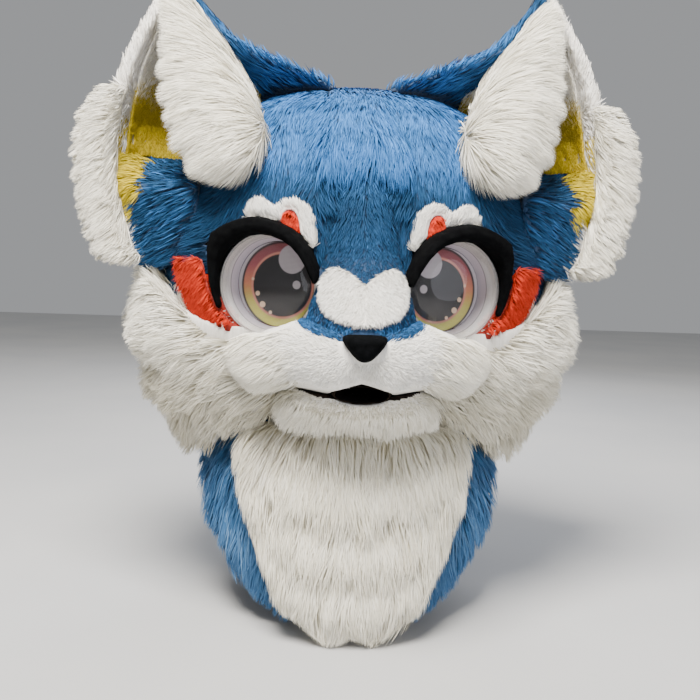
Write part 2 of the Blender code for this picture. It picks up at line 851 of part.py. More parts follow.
def make_marking(name, outline, pile, finish, *keep_clear):
    """The part of a slightly swollen head that lies inside the outline."""
    marking = head_form(pile)
    marking.name = name
    marking.hide_render = False
    marking.display_type = "TEXTURED"
    CUTTERS.objects.unlink(marking)
    PARTS.objects.link(marking)
    marking.data.materials.append(finish)
    boolean(marking, block_from_outline(outline, -240, -20), "INTERSECT")
    boolean(marking, head_form(GAP))
    for form in keep_clear:
        boolean(marking, form)
    return finished(marking)


# Ears


def ear_line(row, inset=0.0):
    """The ear's cross-section at one height, from the outer rim round the back to the middle of the head.

    With an inset it runs inside the wall, which grows thick at its inner end, and where the foot of the ear
    is filled it runs straight from the rim to the temple.
    """
    named = [
        (row.rim_x, row.rim_y), (row.side_x, row.side_y), (row.back_x, row.back_y),
        (row.inner_x, row.inner_y), (row.medial_x, row.medial_y),
    ]
    line = smooth_path([Vector((x, y, row.z)) for x, y in named], EAR_STEPS)
    if not inset:
        return line
    last = len(line) - 1
    moved = []
    for i, point in enumerate(line):
        ahead = line[min(i + 1, last)] - line[max(i - 1, 0)]
        hollow_side = Vector((-ahead.y, ahead.x, 0)).normalized()
        share = i / last
        thick = inset + max(0.0, row.medial_wall - EAR_WALL) * max(0.0, 2 * share - 1) ** 2
        shell = point + hollow_side * thick
        chord = line[0].lerp(Vector((TEMPLE_X, TEMPLE_Y, row.z)), share)
        chord += Vector((-inset * (1 - share) / 2, 0, 0))
        moved.append(shell.lerp(chord, row.fill))
    return moved


def ear_wall_at(row):
    """The wall thins where the ear narrows to its tip."""
    return min(EAR_WALL, 0.36 * (row.rim_x - row.medial_x))


def make_ear_shell(head):
    rings = []
    for row in EAR:
        outer = ear_line(row)
        inner = ear_line(row, ear_wall_at(row))
        rings.append(outer + inner[::-1])
    ear = loft("ear_left", rings, material("blue_ear_fur", BLUE, 0.9))
    boolean(ear, head)
    return finished(ear)


def make_ear_lining(head):
    """The lining follows the ear's own rows, so that it stays clear of the wall all over."""
    rings = []
    first, last = LINING_ROWS
    for row in EAR[first:last]:
        near = ear_wall_at(row) + 2 * GAP
        line = ear_line(row, near)[1:-1]
        deep = ear_line(row, near + LINING_WALL)[1:-1]
        rings.append(deep + line[::-1])
    lining = loft("ear_lining_left", rings, material("cream_lining_plush", CREAM, 0.9))
    boolean(lining, head)
    return finished(lining)


def make_ear_rim_fur(ear, lining):
    """Long locks along the outer rim: every second station reaches out, and the ones between fall back."""
    low, high = RIM_FUR[0].z, RIM_FUR[-1].z
    count = 2 * round((high - low) / RIM_LOCK_PITCH / 2)
    rings = []
    for step in range(count + 1):
        row = along(RIM_FUR, low + (high - low) * step / count)
        reach = row.reach * (1.0 if step % 2 else 0.55)
        droop = -6.0 if step % 2 else 0.0
        back = row.y - RIM_FUR_STAND
        rings.append([
            Vector((row.x - 15, back, row.z)),
            Vector((row.x - 8, back - RIM_FUR_DEPTH * 0.9, row.z)),
            Vector((row.x + 8, back - RIM_FUR_DEPTH, row.z + droop * 0.3)),
            Vector((row.x + reach, back - RIM_FUR_DEPTH * 0.35, row.z + droop)),
            Vector((row.x + 6, back, row.z + droop * 0.2)),
        ])
    fur = loft("ear_rim_fur_left", rings, material("white_rim_fur", WHITE, 0.9))
    cut_clear(fur, ear, lining)
    return finished(fur, 30)


def make_ear_tuft(head, *neighbours):
    """A flap of long fur over the front of the ear, rooted on its inner side and ragged at its outer."""
    low, high = TUFT[0].z, TUFT[-1].z
    count = 2 * round((high - low) / TUFT_LOCK_PITCH / 2)
    rings = []
    for step in range(count + 1):
        row = along(TUFT, low + (high - low) * step / count)
        root = Vector((row.root_x, row.root_y, row.z))
        tip = Vector((row.tip_x, row.tip_y, row.z))
        tip = root + (tip - root) * (1.0 if step % 2 else 0.82)
        out = Vector((0, -1, 0)) * row.thick
        droop = Vector((0, 0, -5.0 if step % 2 else 0.0))
        rings.append([
            root,
            root.lerp(tip, 0.08) + out * 0.55,
            root.lerp(tip, 0.40) + out * 0.9,
            root.lerp(tip, 0.75) + out * 0.6 + droop * 0.5,
            tip + droop,
            root.lerp(tip, 0.75) - out * 0.15,
            root.lerp(tip, 0.40) - out * 0.35,
            root.lerp(tip, 0.08) - out * 0.25,
        ])
    tuft = loft("ear_tuft_left", rings, material("white_tuft_fur", WHITE, 0.9))
    boolean(tuft, head)
    cut_clear(tuft, *neighbours)
    return finished(tuft, 30)


# Fur walls with locks


def lock_relief(level, column):
    """(thickness share, tip share) of a lock at a grid point. Each row is set half a lock to the side."""
    if level == 0:
        return LOCK_ROOT, 0
    shingle, part = divmod(level - 1, LOCK_STEPS)
    ridge = (column + shingle) % 2
    rise = part / (LOCK_STEPS - 1)
    return LOCK_ROOT + (1 - LOCK_ROOT) * rise * (0.55 + 0.45 * ridge), rise * ridge


def make_cheek_fluff(head, eye, *neighbours):
    """Long white fur that swells out of the side of the face and falls in locks below the jaw."""
    first, last = CHEEK[0].angle, CHEEK[-1].angle
    levels = CHEEK_ROWS * LOCK_STEPS
    outer, inner = [], []
    for level in range(levels + 1):
        outside, inside = [], []
        for column in range(CHEEK_COLUMNS + 1):
            edge = along(CHEEK, first + (last - first) * column / CHEEK_COLUMNS)
            relief, tip = lock_relief(level, column)
            share = level / levels
            z = edge.top + (edge.bottom + CHEEK_TIP - edge.top) * share - CHEEK_TIP * tip
            swell = edge.thick * relief * min(1.0, 0.7 + 1.8 * share)
            drop = max(0.0, CHEEK_FULL_Z - z)
            hang = -CHEEK_DRAW_IN * drop - CHEEK_CURL_IN * drop**2
            angle = math.radians(edge.angle)
            outer_ring = along(HEAD, max(z, CHEEK_FULL_Z))._replace(z=z)
            inner_z = max(z, CHEEK_ROOT_Z)
            outside.append(ring_point(outer_ring, angle, 2 * GAP + 1 + swell + hang))
            inside.append(ring_point(along(HEAD, inner_z)._replace(z=inner_z), angle, -CHEEK_SINK))
        outer.append(outside)
        inner.append(inside)
    fluff = wall_between("cheek_fluff_left", outer, inner, material("white_long_fur", WHITE, 0.9), False)
    boolean(fluff, head)
    boolean(fluff, eye)
    cut_clear(fluff, *neighbours, by=LOCK_GAP)
    return finished(fluff, 30)


def ruff_base(z):
    """The inside of the ruff at one height."""
    return along(RUFF_BASE, z)._replace(z=z)


def mirrored_angle(angle):
    """An angle from the middle of the front, from 0 to 180 degrees, on either side."""
    return abs((math.degrees(angle) + 180) % 360 - 180)


def make_neck_ruff(*neighbours):
    """A furry tube round the neck, open below, with its hem long in front and short at the sides."""
    levels = RUFF_ROWS * LOCK_STEPS
    top = NECK_Z - GAP
    outer, inner = [], []
    for level in range(levels + 1):
        outside, inside = [], []
        for column in range(RUFF_COLUMNS):
            angle = turn(column, RUFF_COLUMNS)
            edge = along(RUFF, mirrored_angle(angle))
            relief, tip = lock_relief(level, column)
            share = level / levels
            locks = RUFF_TIP * tip if edge.thick > 20 else 0
            z = top + (edge.hem + RUFF_TIP - top) * share - locks
            base = ruff_base(z)
            fur = edge.thick * relief * min(1, 0.2 + 2 * share)
            outside.append(ring_point(base, angle, RUFF_BACKING + fur))
            inside.append(ring_point(base, angle))
        outer.append(outside)
        inner.append(inside)
    ruff = wall_between("neck_ruff", outer, inner, material("blue_long_fur", BLUE, 0.9), True)
    cut_clear(ruff, *neighbours, by=LOCK_GAP)
    return finished(ruff, 30)


def make_bib(*neighbours):
    """The white front of the ruff, laid over its fur and pointed below."""
    last = BIB[-1].angle
    top = NECK_Z - GAP
    levels = BIB_ROWS * LOCK_STEPS
    outer, inner = [], []
    for level in range(levels + 1):
        outside, inside = [], []
        for column in range(BIB_COLUMNS + 1):
            angle = math.radians(last * (2 * column / BIB_COLUMNS - 1))
            edge = along(BIB, mirrored_angle(angle))
            relief, tip = lock_relief(level, column)
            share = level / levels
            z = top + (edge.hem + BIB_TIP - top) * share - BIB_TIP * tip
            base = ruff_base(z)
            stand = RUFF_BACKING + along(RUFF, mirrored_angle(angle)).thick + BIB_STAND
            outside.append(ring_point(base, angle, stand + 3 + edge.thick * relief))
            inside.append(ring_point(base, angle, stand))
        outer.append(outside)
        inner.append(inside)
    bib = wall_between("bib", outer, inner, material("white_bib_fur", WHITE, 0.9), False)
    cut_clear(bib, *neighbours, by=GAP)
    return finished(bib, 30)


# Assembly

head_outside = head_form(GAP)
socket_forms = both_sides(socket_form())
eye_forms = both_sides(eye_form())
mouth_form = as_cutter(ellipsoid("mouth_form", MOUTH_CENTRE, MOUTH_RADII, None, CUTTERS))

head_shell = make_head_shell(socket_forms, mouth_form)
nose_bridge = make_bridge(head_outside, eye_forms)
muzzle = make_muzzle(head_outside, eye_forms, mouth_form, nose_bridge)
lower_jaw = make_jaw(head_outside, muzzle, mouth_form)
mouth_lining = make_mouth_lining()
bridge_patch = make_bridge_patch()
nose = make_nose(muzzle, nose_bridge)

eye_dome = make_eye_dome()
eye_bowl = make_eye_bowl()
eye_print = make_eye_print()
eyelid = make_eyelid(head_outside, eye_forms[0], nose_bridge)
ear = make_ear_shell(head_outside)

brow_spot = make_marking(
    "brow_spot_left", BROW_SPOT, MARK_PILE, material("red_spot_fur", RED, 0.9), grown(eyelid),
    grown(nose_bridge),
)
brow_patch = make_marking(
    "brow_patch_left", BROW_PATCH, MARK_PILE, material("white_brow_fur", WHITE, 0.9), grown(eyelid),
    grown(brow_spot), grown(nose_bridge),
)
cheek_mark = make_marking(
    "cheek_mark_left", CHEEK_MARK, MARK_PILE, material("red_cheek_fur", RED, 0.9), grown(eyelid),
    eye_forms[0], grown(ear),
)

ear_lining = make_ear_lining(head_outside)
ear_rim_fur = make_ear_rim_fur(ear, ear_lining)
ear_tuft = make_ear_tuft(head_outside, ear, ear_lining)
cheek_fluff = make_cheek_fluff(head_outside, eye_forms[0], muzzle, lower_jaw, eyelid, cheek_mark)

for piece in (eye_dome, eye_bowl, eye_print, eyelid, brow_spot, brow_patch, cheek_mark, ear, ear_lining,
              ear_rim_fur, ear_tuft, cheek_fluff):
    mirrored(piece, piece.name.replace("_left", "_right"))

fluffs = cheek_fluff, bpy.data.objects["cheek_fluff_right"]
neck_ruff = make_neck_ruff(*fluffs)
bib = make_bib(*fluffs)
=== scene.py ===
# %% [markdown]
# # A plush animal costume head
#
# The real head is a hollow foam shell under faux fur, with domed eyes, fleece lids and nose, lined ears
# and a furry bib and ruff round the neck. The frame gives every solid its size and place. This lesson
# dresses the frame: each furry solid gets a soft skin, and strands of fur grow from the skin in the way
# the real pile lies.

import math
from dataclasses import dataclass

import bmesh
import bpy
import numpy as np
from mathutils import Matrix, Vector
from mathutils.bvhtree import BVHTree
from mathutils.kdtree import KDTree


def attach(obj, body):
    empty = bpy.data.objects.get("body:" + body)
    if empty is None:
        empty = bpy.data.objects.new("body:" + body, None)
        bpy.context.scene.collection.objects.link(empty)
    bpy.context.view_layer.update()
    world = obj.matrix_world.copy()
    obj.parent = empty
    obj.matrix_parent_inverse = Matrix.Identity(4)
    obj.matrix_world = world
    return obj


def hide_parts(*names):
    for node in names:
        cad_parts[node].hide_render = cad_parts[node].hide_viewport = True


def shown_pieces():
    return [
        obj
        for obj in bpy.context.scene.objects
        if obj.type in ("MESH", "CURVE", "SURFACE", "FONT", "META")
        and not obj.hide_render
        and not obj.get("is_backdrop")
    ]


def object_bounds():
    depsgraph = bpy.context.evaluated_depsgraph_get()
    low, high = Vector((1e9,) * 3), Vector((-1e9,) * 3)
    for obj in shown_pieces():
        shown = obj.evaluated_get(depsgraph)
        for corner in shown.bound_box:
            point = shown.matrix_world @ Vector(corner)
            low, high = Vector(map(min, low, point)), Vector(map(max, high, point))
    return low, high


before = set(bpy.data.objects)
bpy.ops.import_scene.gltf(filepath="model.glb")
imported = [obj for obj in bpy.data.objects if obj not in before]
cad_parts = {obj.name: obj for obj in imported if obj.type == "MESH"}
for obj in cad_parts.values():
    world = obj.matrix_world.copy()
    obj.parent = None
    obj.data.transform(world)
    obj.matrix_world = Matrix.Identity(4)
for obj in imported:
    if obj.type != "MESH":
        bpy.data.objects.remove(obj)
frame_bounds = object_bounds()
MM = 0.001
print("solids in the frame:", len(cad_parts))

# %% [markdown]
# ## Camera, floor and light
#
# The photograph was taken a little above the muzzle, slightly from the viewer's left, with the camera
# tilted by two degrees. A camera's matrix has its right, its up and its back as columns, so the view is
# built from those three directions and the place. The lights are large and soft, as daylight lamps in a
# workroom are.

# %% Camera
SIGHT = np.array([0.0, -150.0, -118.0])  # the point between the eyes, in millimetres
SIGHT_PIXEL = (362, 289)
FRAME_PIXELS = 700
FOCAL_PIXELS = 795.45
DISTANCE = 700.0


def unit(vectors):
    """The same directions at length one."""
    return vectors / np.maximum(np.linalg.norm(vectors, axis=-1, keepdims=True), 1e-9)


def add_object(name, data):
    """A new object in the scene."""
    made = bpy.data.objects.new(name, data)
    bpy.context.scene.collection.objects.link(made)
    return made


def aim_camera(azimuth, elevation, roll):
    """A camera that sees the point between the eyes at its own pixel, from the angles given in degrees."""
    around, above, tilt = (math.radians(angle) for angle in (azimuth, elevation, roll))
    flat = math.cos(above)
    back = np.array([math.sin(around) * flat, -math.cos(around) * flat, math.sin(above)])
    level = np.array([math.cos(around), math.sin(around), 0.0])
    upright = np.cross(back, level)
    right = math.cos(tilt) * level + math.sin(tilt) * upright
    up = math.cos(tilt) * upright - math.sin(tilt) * level
    aside, below = ((pixel - FRAME_PIXELS / 2) / FOCAL_PIXELS for pixel in SIGHT_PIXEL)
    place = SIGHT - DISTANCE * (aside * right - below * up - back)
    data = bpy.data.cameras.new("camera")
    data.angle = 2 * math.atan(FRAME_PIXELS / 2 / FOCAL_PIXELS)
    camera = add_object("camera", data)
    rows = [[right[row], up[row], back[row], place[row] * MM] for row in range(3)]
    camera.matrix_world = Matrix([*rows, [0, 0, 0, 1]])
    bpy.context.scene.camera = camera
    return camera


camera = aim_camera(azimuth=-3, elevation=6, roll=2)
print("camera sees", round(math.degrees(camera.data.angle), 1), "degrees across")


# %% Colours and nodes
def colour(code):
    """A linear colour from an sRGB hex code."""
    parts = [int(code[start : start + 2], 16) / 255 for start in (1, 3, 5)]
    linear = [part / 12.92 if part <= 0.04045 else ((part + 0.055) / 1.055) ** 2.4 for part in parts]
    return (*linear, 1.0)


def set_inputs(node, inputs):
    """Sets inputs to values, or links them to a socket or to the first output of a node."""
    for name, value in (inputs or {}).items():
        if isinstance(value, bpy.types.Node):
            value = value.outputs[0]
        if isinstance(value, bpy.types.NodeSocket):
            node.id_data.links.new(value, node.inputs[name])
        else:
            node.inputs[name].default_value = value


def add_node(tree, kind, inputs=None, **settings):
    """A new node with its settings, and its inputs set or linked."""
    made = tree.nodes.new(kind)
    for name, value in settings.items():
        setattr(made, name, value)
    set_inputs(made, inputs)
    return made


def ramp(tree, value, *stops):
    """Colours between stops, each (place, sRGB code)."""
    made = add_node(tree, "ShaderNodeValToRGB", {"Fac": value})
    points = made.color_ramp.elements
    while len(points) < len(stops):
        points.new(0.5)
    for point, (place, code) in zip(points, stops):
        point.position = place
        point.color = colour(code)
    return made


def new_finish(name, values=None):
    """A new material with its node tree and its Principled shader, whose inputs take the values."""
    made = bpy.data.materials.new(name)
    made.use_nodes = True
    shader = made.node_tree.nodes["Principled BSDF"]
    set_inputs(shader, values)
    return made, made.node_tree, shader


# %% Floor and lights
def pale_floor():
    """Matt paper: no gloss, with a broad and barely visible cloud of grey."""
    made, tree, shader = new_finish("matt_paper_floor", {"Roughness": 0.9})
    place = add_node(tree, "ShaderNodeTexCoord").outputs["Object"]
    grain = add_node(tree, "ShaderNodeTexNoise", {"Vector": place, "Scale": 3.0, "Detail": 4.0})
    set_inputs(shader, {"Base Color": ramp(tree, grain, (0.3, "#b4b5b6"), (0.7, "#bdbdbc"))})
    bpy.ops.mesh.primitive_plane_add(size=8, location=(0, 0, frame_bounds[0][2] - 0.004))
    floor = bpy.context.object
    floor.name = "floor"
    floor.data.materials.append(made)
    floor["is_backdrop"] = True


def soft_light(name, place, target, size, watts, tint):
    """A round area light, this many metres across, that faces the target."""
    data = bpy.data.lights.new(name, "AREA")
    data.shape = "DISK"
    data.size = size
    data.energy = watts
    data.color = colour(tint)[:3]
    light = add_object(name, data)
    light.location = place
    light.rotation_euler = (Vector(place) - Vector(target)).to_track_quat("Z", "Y").to_euler()


def room_light(strength, tint):
    """An even light from all sides."""
    world = bpy.data.worlds.new("room")
    bpy.context.scene.world = world
    world.use_nodes = True
    background = world.node_tree.nodes["Background"]
    background.inputs["Color"].default_value = colour(tint)
    background.inputs["Strength"].default_value = strength


bpy.ops.object.select_all(action="DESELECT")
pale_floor()
soft_light("key", (-0.25, -0.75, 1.35), (0, -0.05, -0.1), 0.8, 106, "#fffaf3")
soft_light("fill", (0.9, -1.5, 0.2), (0, 0, -0.15), 1.4, 10, "#f3f5ff")
soft_light("back", (0.3, 1.4, 0.9), (0, 0, 0), 1.0, 22, "#f3f6ff")
room_light(0.42, "#e9ebee")
print("lights:", [light.name for light in bpy.data.lights])

# %% [markdown]
# ## The fur's tools
#
# Real fur is tens of thousands of fibres that lean one way. Particle hair can't be kept in a model that
# has to travel as a mesh, so each strand is a thin ribbon of one to three short faces with a pointed tip.
# All strands of a coat are computed as arrays and joined in one mesh. Every ribbon lies in the same map:
# across the map runs the way from root to tip, and up the map runs the strand's own tone, so one small
# pattern colours them all.


# %% Roots on a skin
def field(domain, attribute, size, kind=np.float64):
    """One attribute of all vertices or triangles as an array."""
    values = np.empty(len(domain) * size, kind)
    domain.foreach_get(attribute, values)
    return values.reshape(-1, size)


def scattered(skin, count, want, rng):
    """Random roots and normals on a skin. Want gives how thick the coat is at each place."""
    mesh = skin.data
    mesh.calc_loop_triangles()
    points = field(mesh.vertices, "co", 3) / MM
    normals = field(mesh.vertex_normals, "vector", 3)
    corners = field(mesh.loop_triangles, "vertices", 3, np.int32)
    a, b, c = (points[corners[:, k]] for k in range(3))
    crossed = np.cross(b - a, c - a)
    chance = np.linalg.norm(crossed, axis=1) * want((a + b + c) / 3, unit(crossed))
    picked = rng.choice(len(corners), count, p=chance / chance.sum())
    one, two = rng.random((2, count))
    folded = one + two > 1
    one[folded], two[folded] = 1 - one[folded], 1 - two[folded]
    shares = np.stack([1 - one - two, one, two], axis=1)[:, :, None]
    roots = (points[corners[picked]] * shares).sum(axis=1)
    return roots, unit((normals[corners[picked]] * shares).sum(axis=1))


def others_than(own):
    """A search tree of all the frame's solids but one."""
    points, faces = [], []
    for name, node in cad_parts.items():
        if name == own:
            continue
        start = len(points)
        points += [node.matrix_world @ vertex.co / MM for vertex in node.data.vertices]
        faces += [[start + k for k in face.vertices] for face in node.data.polygons]
    return BVHTree.FromPolygons(points, faces)


def in_the_open(roots, normals, own, reach=6.0):
    """True for each root that no other solid covers."""
    tree = others_than(own)
    return np.array([
        tree.ray_cast(Vector(root + normal * 0.6), Vector(normal), reach)[0] is None
        for root, normal in zip(roots, normals)
    ])


# %% Places to keep clear
EYE_CENTRE = np.array([84.5, -144.0, -117.0])
EYE_TURN = math.radians(20)
# The lids' outline as the eye sees it: away from the nose and up from the eye's centre, in millimetres.
LID_OUTLINE = [
    (-48, 4), (-46, 16), (-39, 33), (-26, 47), (-5, 56), (15, 58), (34, 53), (54, 42), (55, 18), (51, -4),
    (44, -22), (31, -32), (16, -40), (0, -43), (-16, -40), (-31, -31), (-42, -16),
]


def eye_places(points):
    """Each point as (away from the nose, up, out of the face) by the nearer eye."""
    side = np.where(points[..., 0] < 0, -1.0, 1.0)
    x = points[..., 0] * side - EYE_CENTRE[0]
    y = points[..., 1] - EYE_CENTRE[1]
    out = x * math.sin(EYE_TURN) - y * math.cos(EYE_TURN)
    away = x * math.cos(EYE_TURN) + y * math.sin(EYE_TURN)
    return away, points[..., 2] - EYE_CENTRE[2], out


def inside(outline, u, v):
    """True where (u, v) lies inside a closed outline."""
    found = np.zeros(np.shape(u), bool)
    for (u0, v0), (u1, v1) in zip(outline, outline[1:] + outline[:1]):
        between = (v0 > v) != (v1 > v)
        found ^= between & (u < (u1 - u0) * (v - v0) / (v1 - v0 + 1e-9) + u0)
    return found


def over_the_eye(points):
    away, up, out = eye_places(points)
    return inside(LID_OUTLINE, away, up) & (out > -40) & (out < 60)


def over_the_nose(points):
    x, y, z = np.moveaxis(points, -1, 0)
    return ((x / 21) ** 2 + ((z + 164) / 13) ** 2 < 1) & (y < -190)


def keep_clear(points):
    return over_the_eye(points) | over_the_nose(points)


def nowhere(points):
    return np.zeros(points.shape[:-1], bool)


def everywhere(points, normals):
    return np.ones(len(points))


def one_side(points):
    """The places as x, y and z, with the right side of the head folded onto the left."""
    return np.abs(points[..., 0]), points[..., 1], points[..., 2]


# %% Fields that vary smoothly
def smooth(value, low, high):
    """0 below low, 1 above high, and an even turn between."""
    share = np.clip((value - low) / (high - low), 0, 1)
    return share * share * (3 - 2 * share)


def drift(points, size, seed):
    """A soft random field from -1 to 1 that changes over this many millimetres."""
    rng = np.random.default_rng(seed)
    waves = unit(rng.normal(size=(7, 3))) * (2 * math.pi / size) * rng.uniform(0.6, 1.5, (7, 1))
    turns = rng.uniform(0, 2 * math.pi, 7)
    return np.clip(np.sin(points @ waves.T + turns).sum(axis=1) / 3.2, -1, 1)


def direction(x, y, z):
    """A field of directions from three numbers or arrays."""
    return np.stack(np.broadcast_arrays(x, y, z), axis=-1).astype(float)


def leaning(away, back, up):
    """A flow with one heading on each side of the head: away from the middle, back and up."""
    return lambda points, normals: direction(away * np.sign(points[:, 0]), back, up)


# %% Comb the strands
@dataclass
class Coat:
    """How one coat of fur grows. Lengths are in millimetres and angles in radians."""

    length: float
    width: float
    rise: float  # how far a strand lifts off the skin
    levels: int = 2  # faces along a strand
    vary: float = 0.25  # share by which lengths differ
    stray: float = 0.16  # angle by which a strand leaves the flow
    hug: float = 0.0  # how much it bends back to the skin
    fall: float = 0.0  # how much its own weight pulls it down
    wave: float = 0.0  # width of its waves, and below how many it has
    waves: float = 1.0
    lock: int = 1  # strands that lean together, and below how far they do
    pull: float = 0.0
    roll: float = 0.35  # turn of the ribbon about its own line
    reach: float = 9.0  # the farthest that a tip may stand off the skin
    mottle: float = 0.11  # how much the tone differs from strand to strand
    swirl: float = 0.1  # how far the flow wanders, and below over what distance
    swirl_size: float = 40
    stand: float = 0.0  # share of the flow's lift off the skin that is kept


def overshoot(skin, tips):
    """How far each tip lies off the skin, in millimetres."""
    mesh = skin.data
    points = [vertex.co / MM for vertex in mesh.vertices]
    tree = BVHTree.FromPolygons(points, [face.vertices for face in mesh.polygons])
    return np.array([tree.find_nearest(Vector(tip))[3] for tip in tips])


def comb(roots, normals, flow, coat, scale, rng):
    """The points of each strand from root to tip. Strands of a lock lean together toward its leader."""
    count = len(roots)
    # The flow is laid down on the skin, apart from the share of its lift that the coat keeps.
    lift = (flow * normals).sum(axis=1, keepdims=True)
    along = unit(flow - normals * lift * np.where(lift > 0, 1 - coat.stand, 1))
    turned = rng.normal(0, coat.stray, count)[:, None]
    along = along * np.cos(turned) + np.cross(normals, along) * np.sin(turned)
    across = unit(np.cross(normals, along))
    length = coat.length * scale * (1 + coat.vary * rng.uniform(-1, 1, count))
    rise = coat.rise * scale * rng.uniform(0.5, 1.4, count)
    # The first roots lead the locks, and each strand belongs to the nearest leader.
    leaders = max(1, count // coat.lock)
    near = np.arange(count)
    if coat.lock > 1:
        tree = KDTree(leaders)
        for k in range(leaders):
            tree.insert(roots[k], k)
        tree.balance()
        near = np.array([tree.find(root)[1] for root in roots])
        length[:leaders] *= 1.12
    # From root (0) to tip (1) a strand rises, bends back to the skin, falls and waves.
    s = np.linspace(0, 1, coat.levels + 1)[None, :, None]
    far = length[:, None, None] * s
    lines = roots[:, None, :] + far * along[:, None, :]
    lines += normals[:, None, :] * (rise[:, None, None] * (1 - (1 - s) ** 2) - coat.hug * far**2 / 2)
    lines += np.array([0, 0, -1.0]) * coat.fall * far * s
    phase = rng.uniform(0, 2 * math.pi, count)[near][:, None, None]
    sway = np.sin(2 * math.pi * coat.waves * s + phase) - np.sin(phase)
    lines += across[:, None, :] * coat.wave * sway * scale[:, None, None]
    if coat.lock > 1:
        gather = coat.pull * s**1.4 * rng.uniform(0.6, 1.0, count)[:, None, None]
        lines += (lines[near] - lines) * gather
    return lines


def ribbons(name, lines, normals, coat, tone, finish, rng):
    """One mesh of all the strands, each a ribbon that narrows to a point, with the map that colours it."""
    count, rows = lines.shape[:2]
    levels = rows - 1
    share = np.linspace(0, 1, rows)
    ahead = unit(np.gradient(lines, axis=1))
    side = unit(np.cross(normals[:, None, :], ahead))
    outward = np.cross(ahead, side)
    roll = rng.normal(0, coat.roll, count)[:, None, None]
    side = side * np.cos(roll) + outward * np.sin(roll)
    taper = 1 - 0.75 * share[None, :, None] ** 2
    wide = coat.width * rng.uniform(0.7, 1.3, count)[:, None, None] / 2 * taper
    edges = np.stack([lines - side * wide, lines + side * wide], axis=2)[:, :levels]
    points = np.concatenate([edges.reshape(count, 2 * levels, 3), lines[:, levels:]], axis=1)
    # The faces of one ribbon are squares with a triangle at the tip, and all ribbons repeat them.
    corner = []
    starts = []
    for level in range(levels - 1):
        starts.append(len(corner))
        corner += [2 * level, 2 * level + 2, 2 * level + 3, 2 * level + 1]
    starts.append(len(corner))
    corner += [2 * levels - 2, 2 * levels, 2 * levels - 1]
    per = 2 * levels + 1
    loops = (np.arange(count)[:, None] * per + np.array(corner)).ravel()
    begins = (np.arange(count)[:, None] * len(corner) + np.array(starts)).ravel()
    mesh = bpy.data.meshes.new(name)
    mesh.vertices.add(count * per)
    mesh.vertices.foreach_set("co", (points * MM).ravel())
    mesh.loops.add(len(loops))
    mesh.loops.foreach_set("vertex_index", loops.astype(np.int32))
    mesh.polygons.add(len(begins))
    mesh.polygons.foreach_set("loop_start", begins.astype(np.int32))
    mesh.polygons.foreach_set("use_smooth", np.ones(len(begins), bool))
    mesh.update(calc_edges=True)
    # Across the map runs the way from root to tip, and up it the tone, a little apart for the two edges.
    way = np.concatenate([np.repeat(share[:levels], 2), [1.0]])
    edge = np.concatenate([np.tile([-0.012, 0.012], levels), [0.0]])
    places = np.stack([np.broadcast_to(way, (count, per)), tone[:, None] + edge], axis=-1).reshape(-1, 2)
    layer = mesh.uv_layers.new(name="OFBake")
    layer.uv.foreach_set("vector", np.clip(places[loops], 0.004, 0.996).astype(np.float32).ravel())
    mesh.materials.append(finish)
    made = add_object(name, mesh)
    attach(made, "root")
    return made


triangles_made = {}
solid_under = {}  # the frame's solid that each skin replaces


def grow(name, skin, count, want, flow, coat, finish, tone=None, length=None, seed=1, shun=nowhere):
    """A coat of fur on a skin: roots, combed lines cut short where they would cover an eye, and ribbons."""
    rng = np.random.default_rng(seed)
    roots, normals = scattered(skin, count, want, rng)
    shown = in_the_open(roots, normals, solid_under[skin.name])
    roots, normals = roots[shown], normals[shown]
    scale = np.ones(len(roots)) if length is None else length(roots)
    shade = 0.5 + coat.mottle * (rng.normal(size=len(roots)) + 0.6 * drift(roots, 35, seed + 7))
    if tone is not None:
        shade += tone(roots)
    sway = [drift(roots, coat.swirl_size, seed + k) for k in (31, 32, 33)]
    heading = unit(flow(roots, normals)) + coat.swirl * direction(*sway)
    state = rng.bit_generator.state

    def combed():
        """The same draws each time, so that only the lengths change."""
        rng.bit_generator.state = state
        return comb(roots, normals, heading, coat, scale, rng)

    def in_the_way():
        return (keep_clear(lines) | shun(lines)).any(axis=1)

    lines = combed()
    for _ in range(2):  # shortens what stands too far off the skin
        extra = overshoot(skin, lines[:, -1]) - coat.reach
        shorter = scale * np.clip(1 - 0.95 * extra / (coat.length * scale), 0.3, 1)
        scale = np.where(extra > 0, shorter, scale)
        lines = combed()
    for cut in (0.65, 0.6, 0.5):  # and what crosses an eye, the nose or a marking
        scale = np.where(in_the_way(), scale * cut, scale)
        lines = combed()
    good = ~in_the_way()
    lines, normals, shade = lines[good], normals[good], shade[good]
    made = ribbons(name, lines, normals, coat, np.clip(shade, 0.03, 0.97), finish, rng)
    triangles_made[name] = len(lines) * (2 * coat.levels - 1)
    print(f"{name}: {len(lines)} strands, {triangles_made[name]} triangles")
    return made


# %% [markdown]
# ## Skins under the fur
#
# The frame's furry solids are faceted. A skin is a copy of such a solid whose loose triangles are merged,
# filled with small even cells by a Remesh modifier, relaxed by a Smooth modifier and thinned out by a
# Decimate modifier. It keeps the solid's form and stays in its place, and it shows as the dense undercoat
# between the strands.


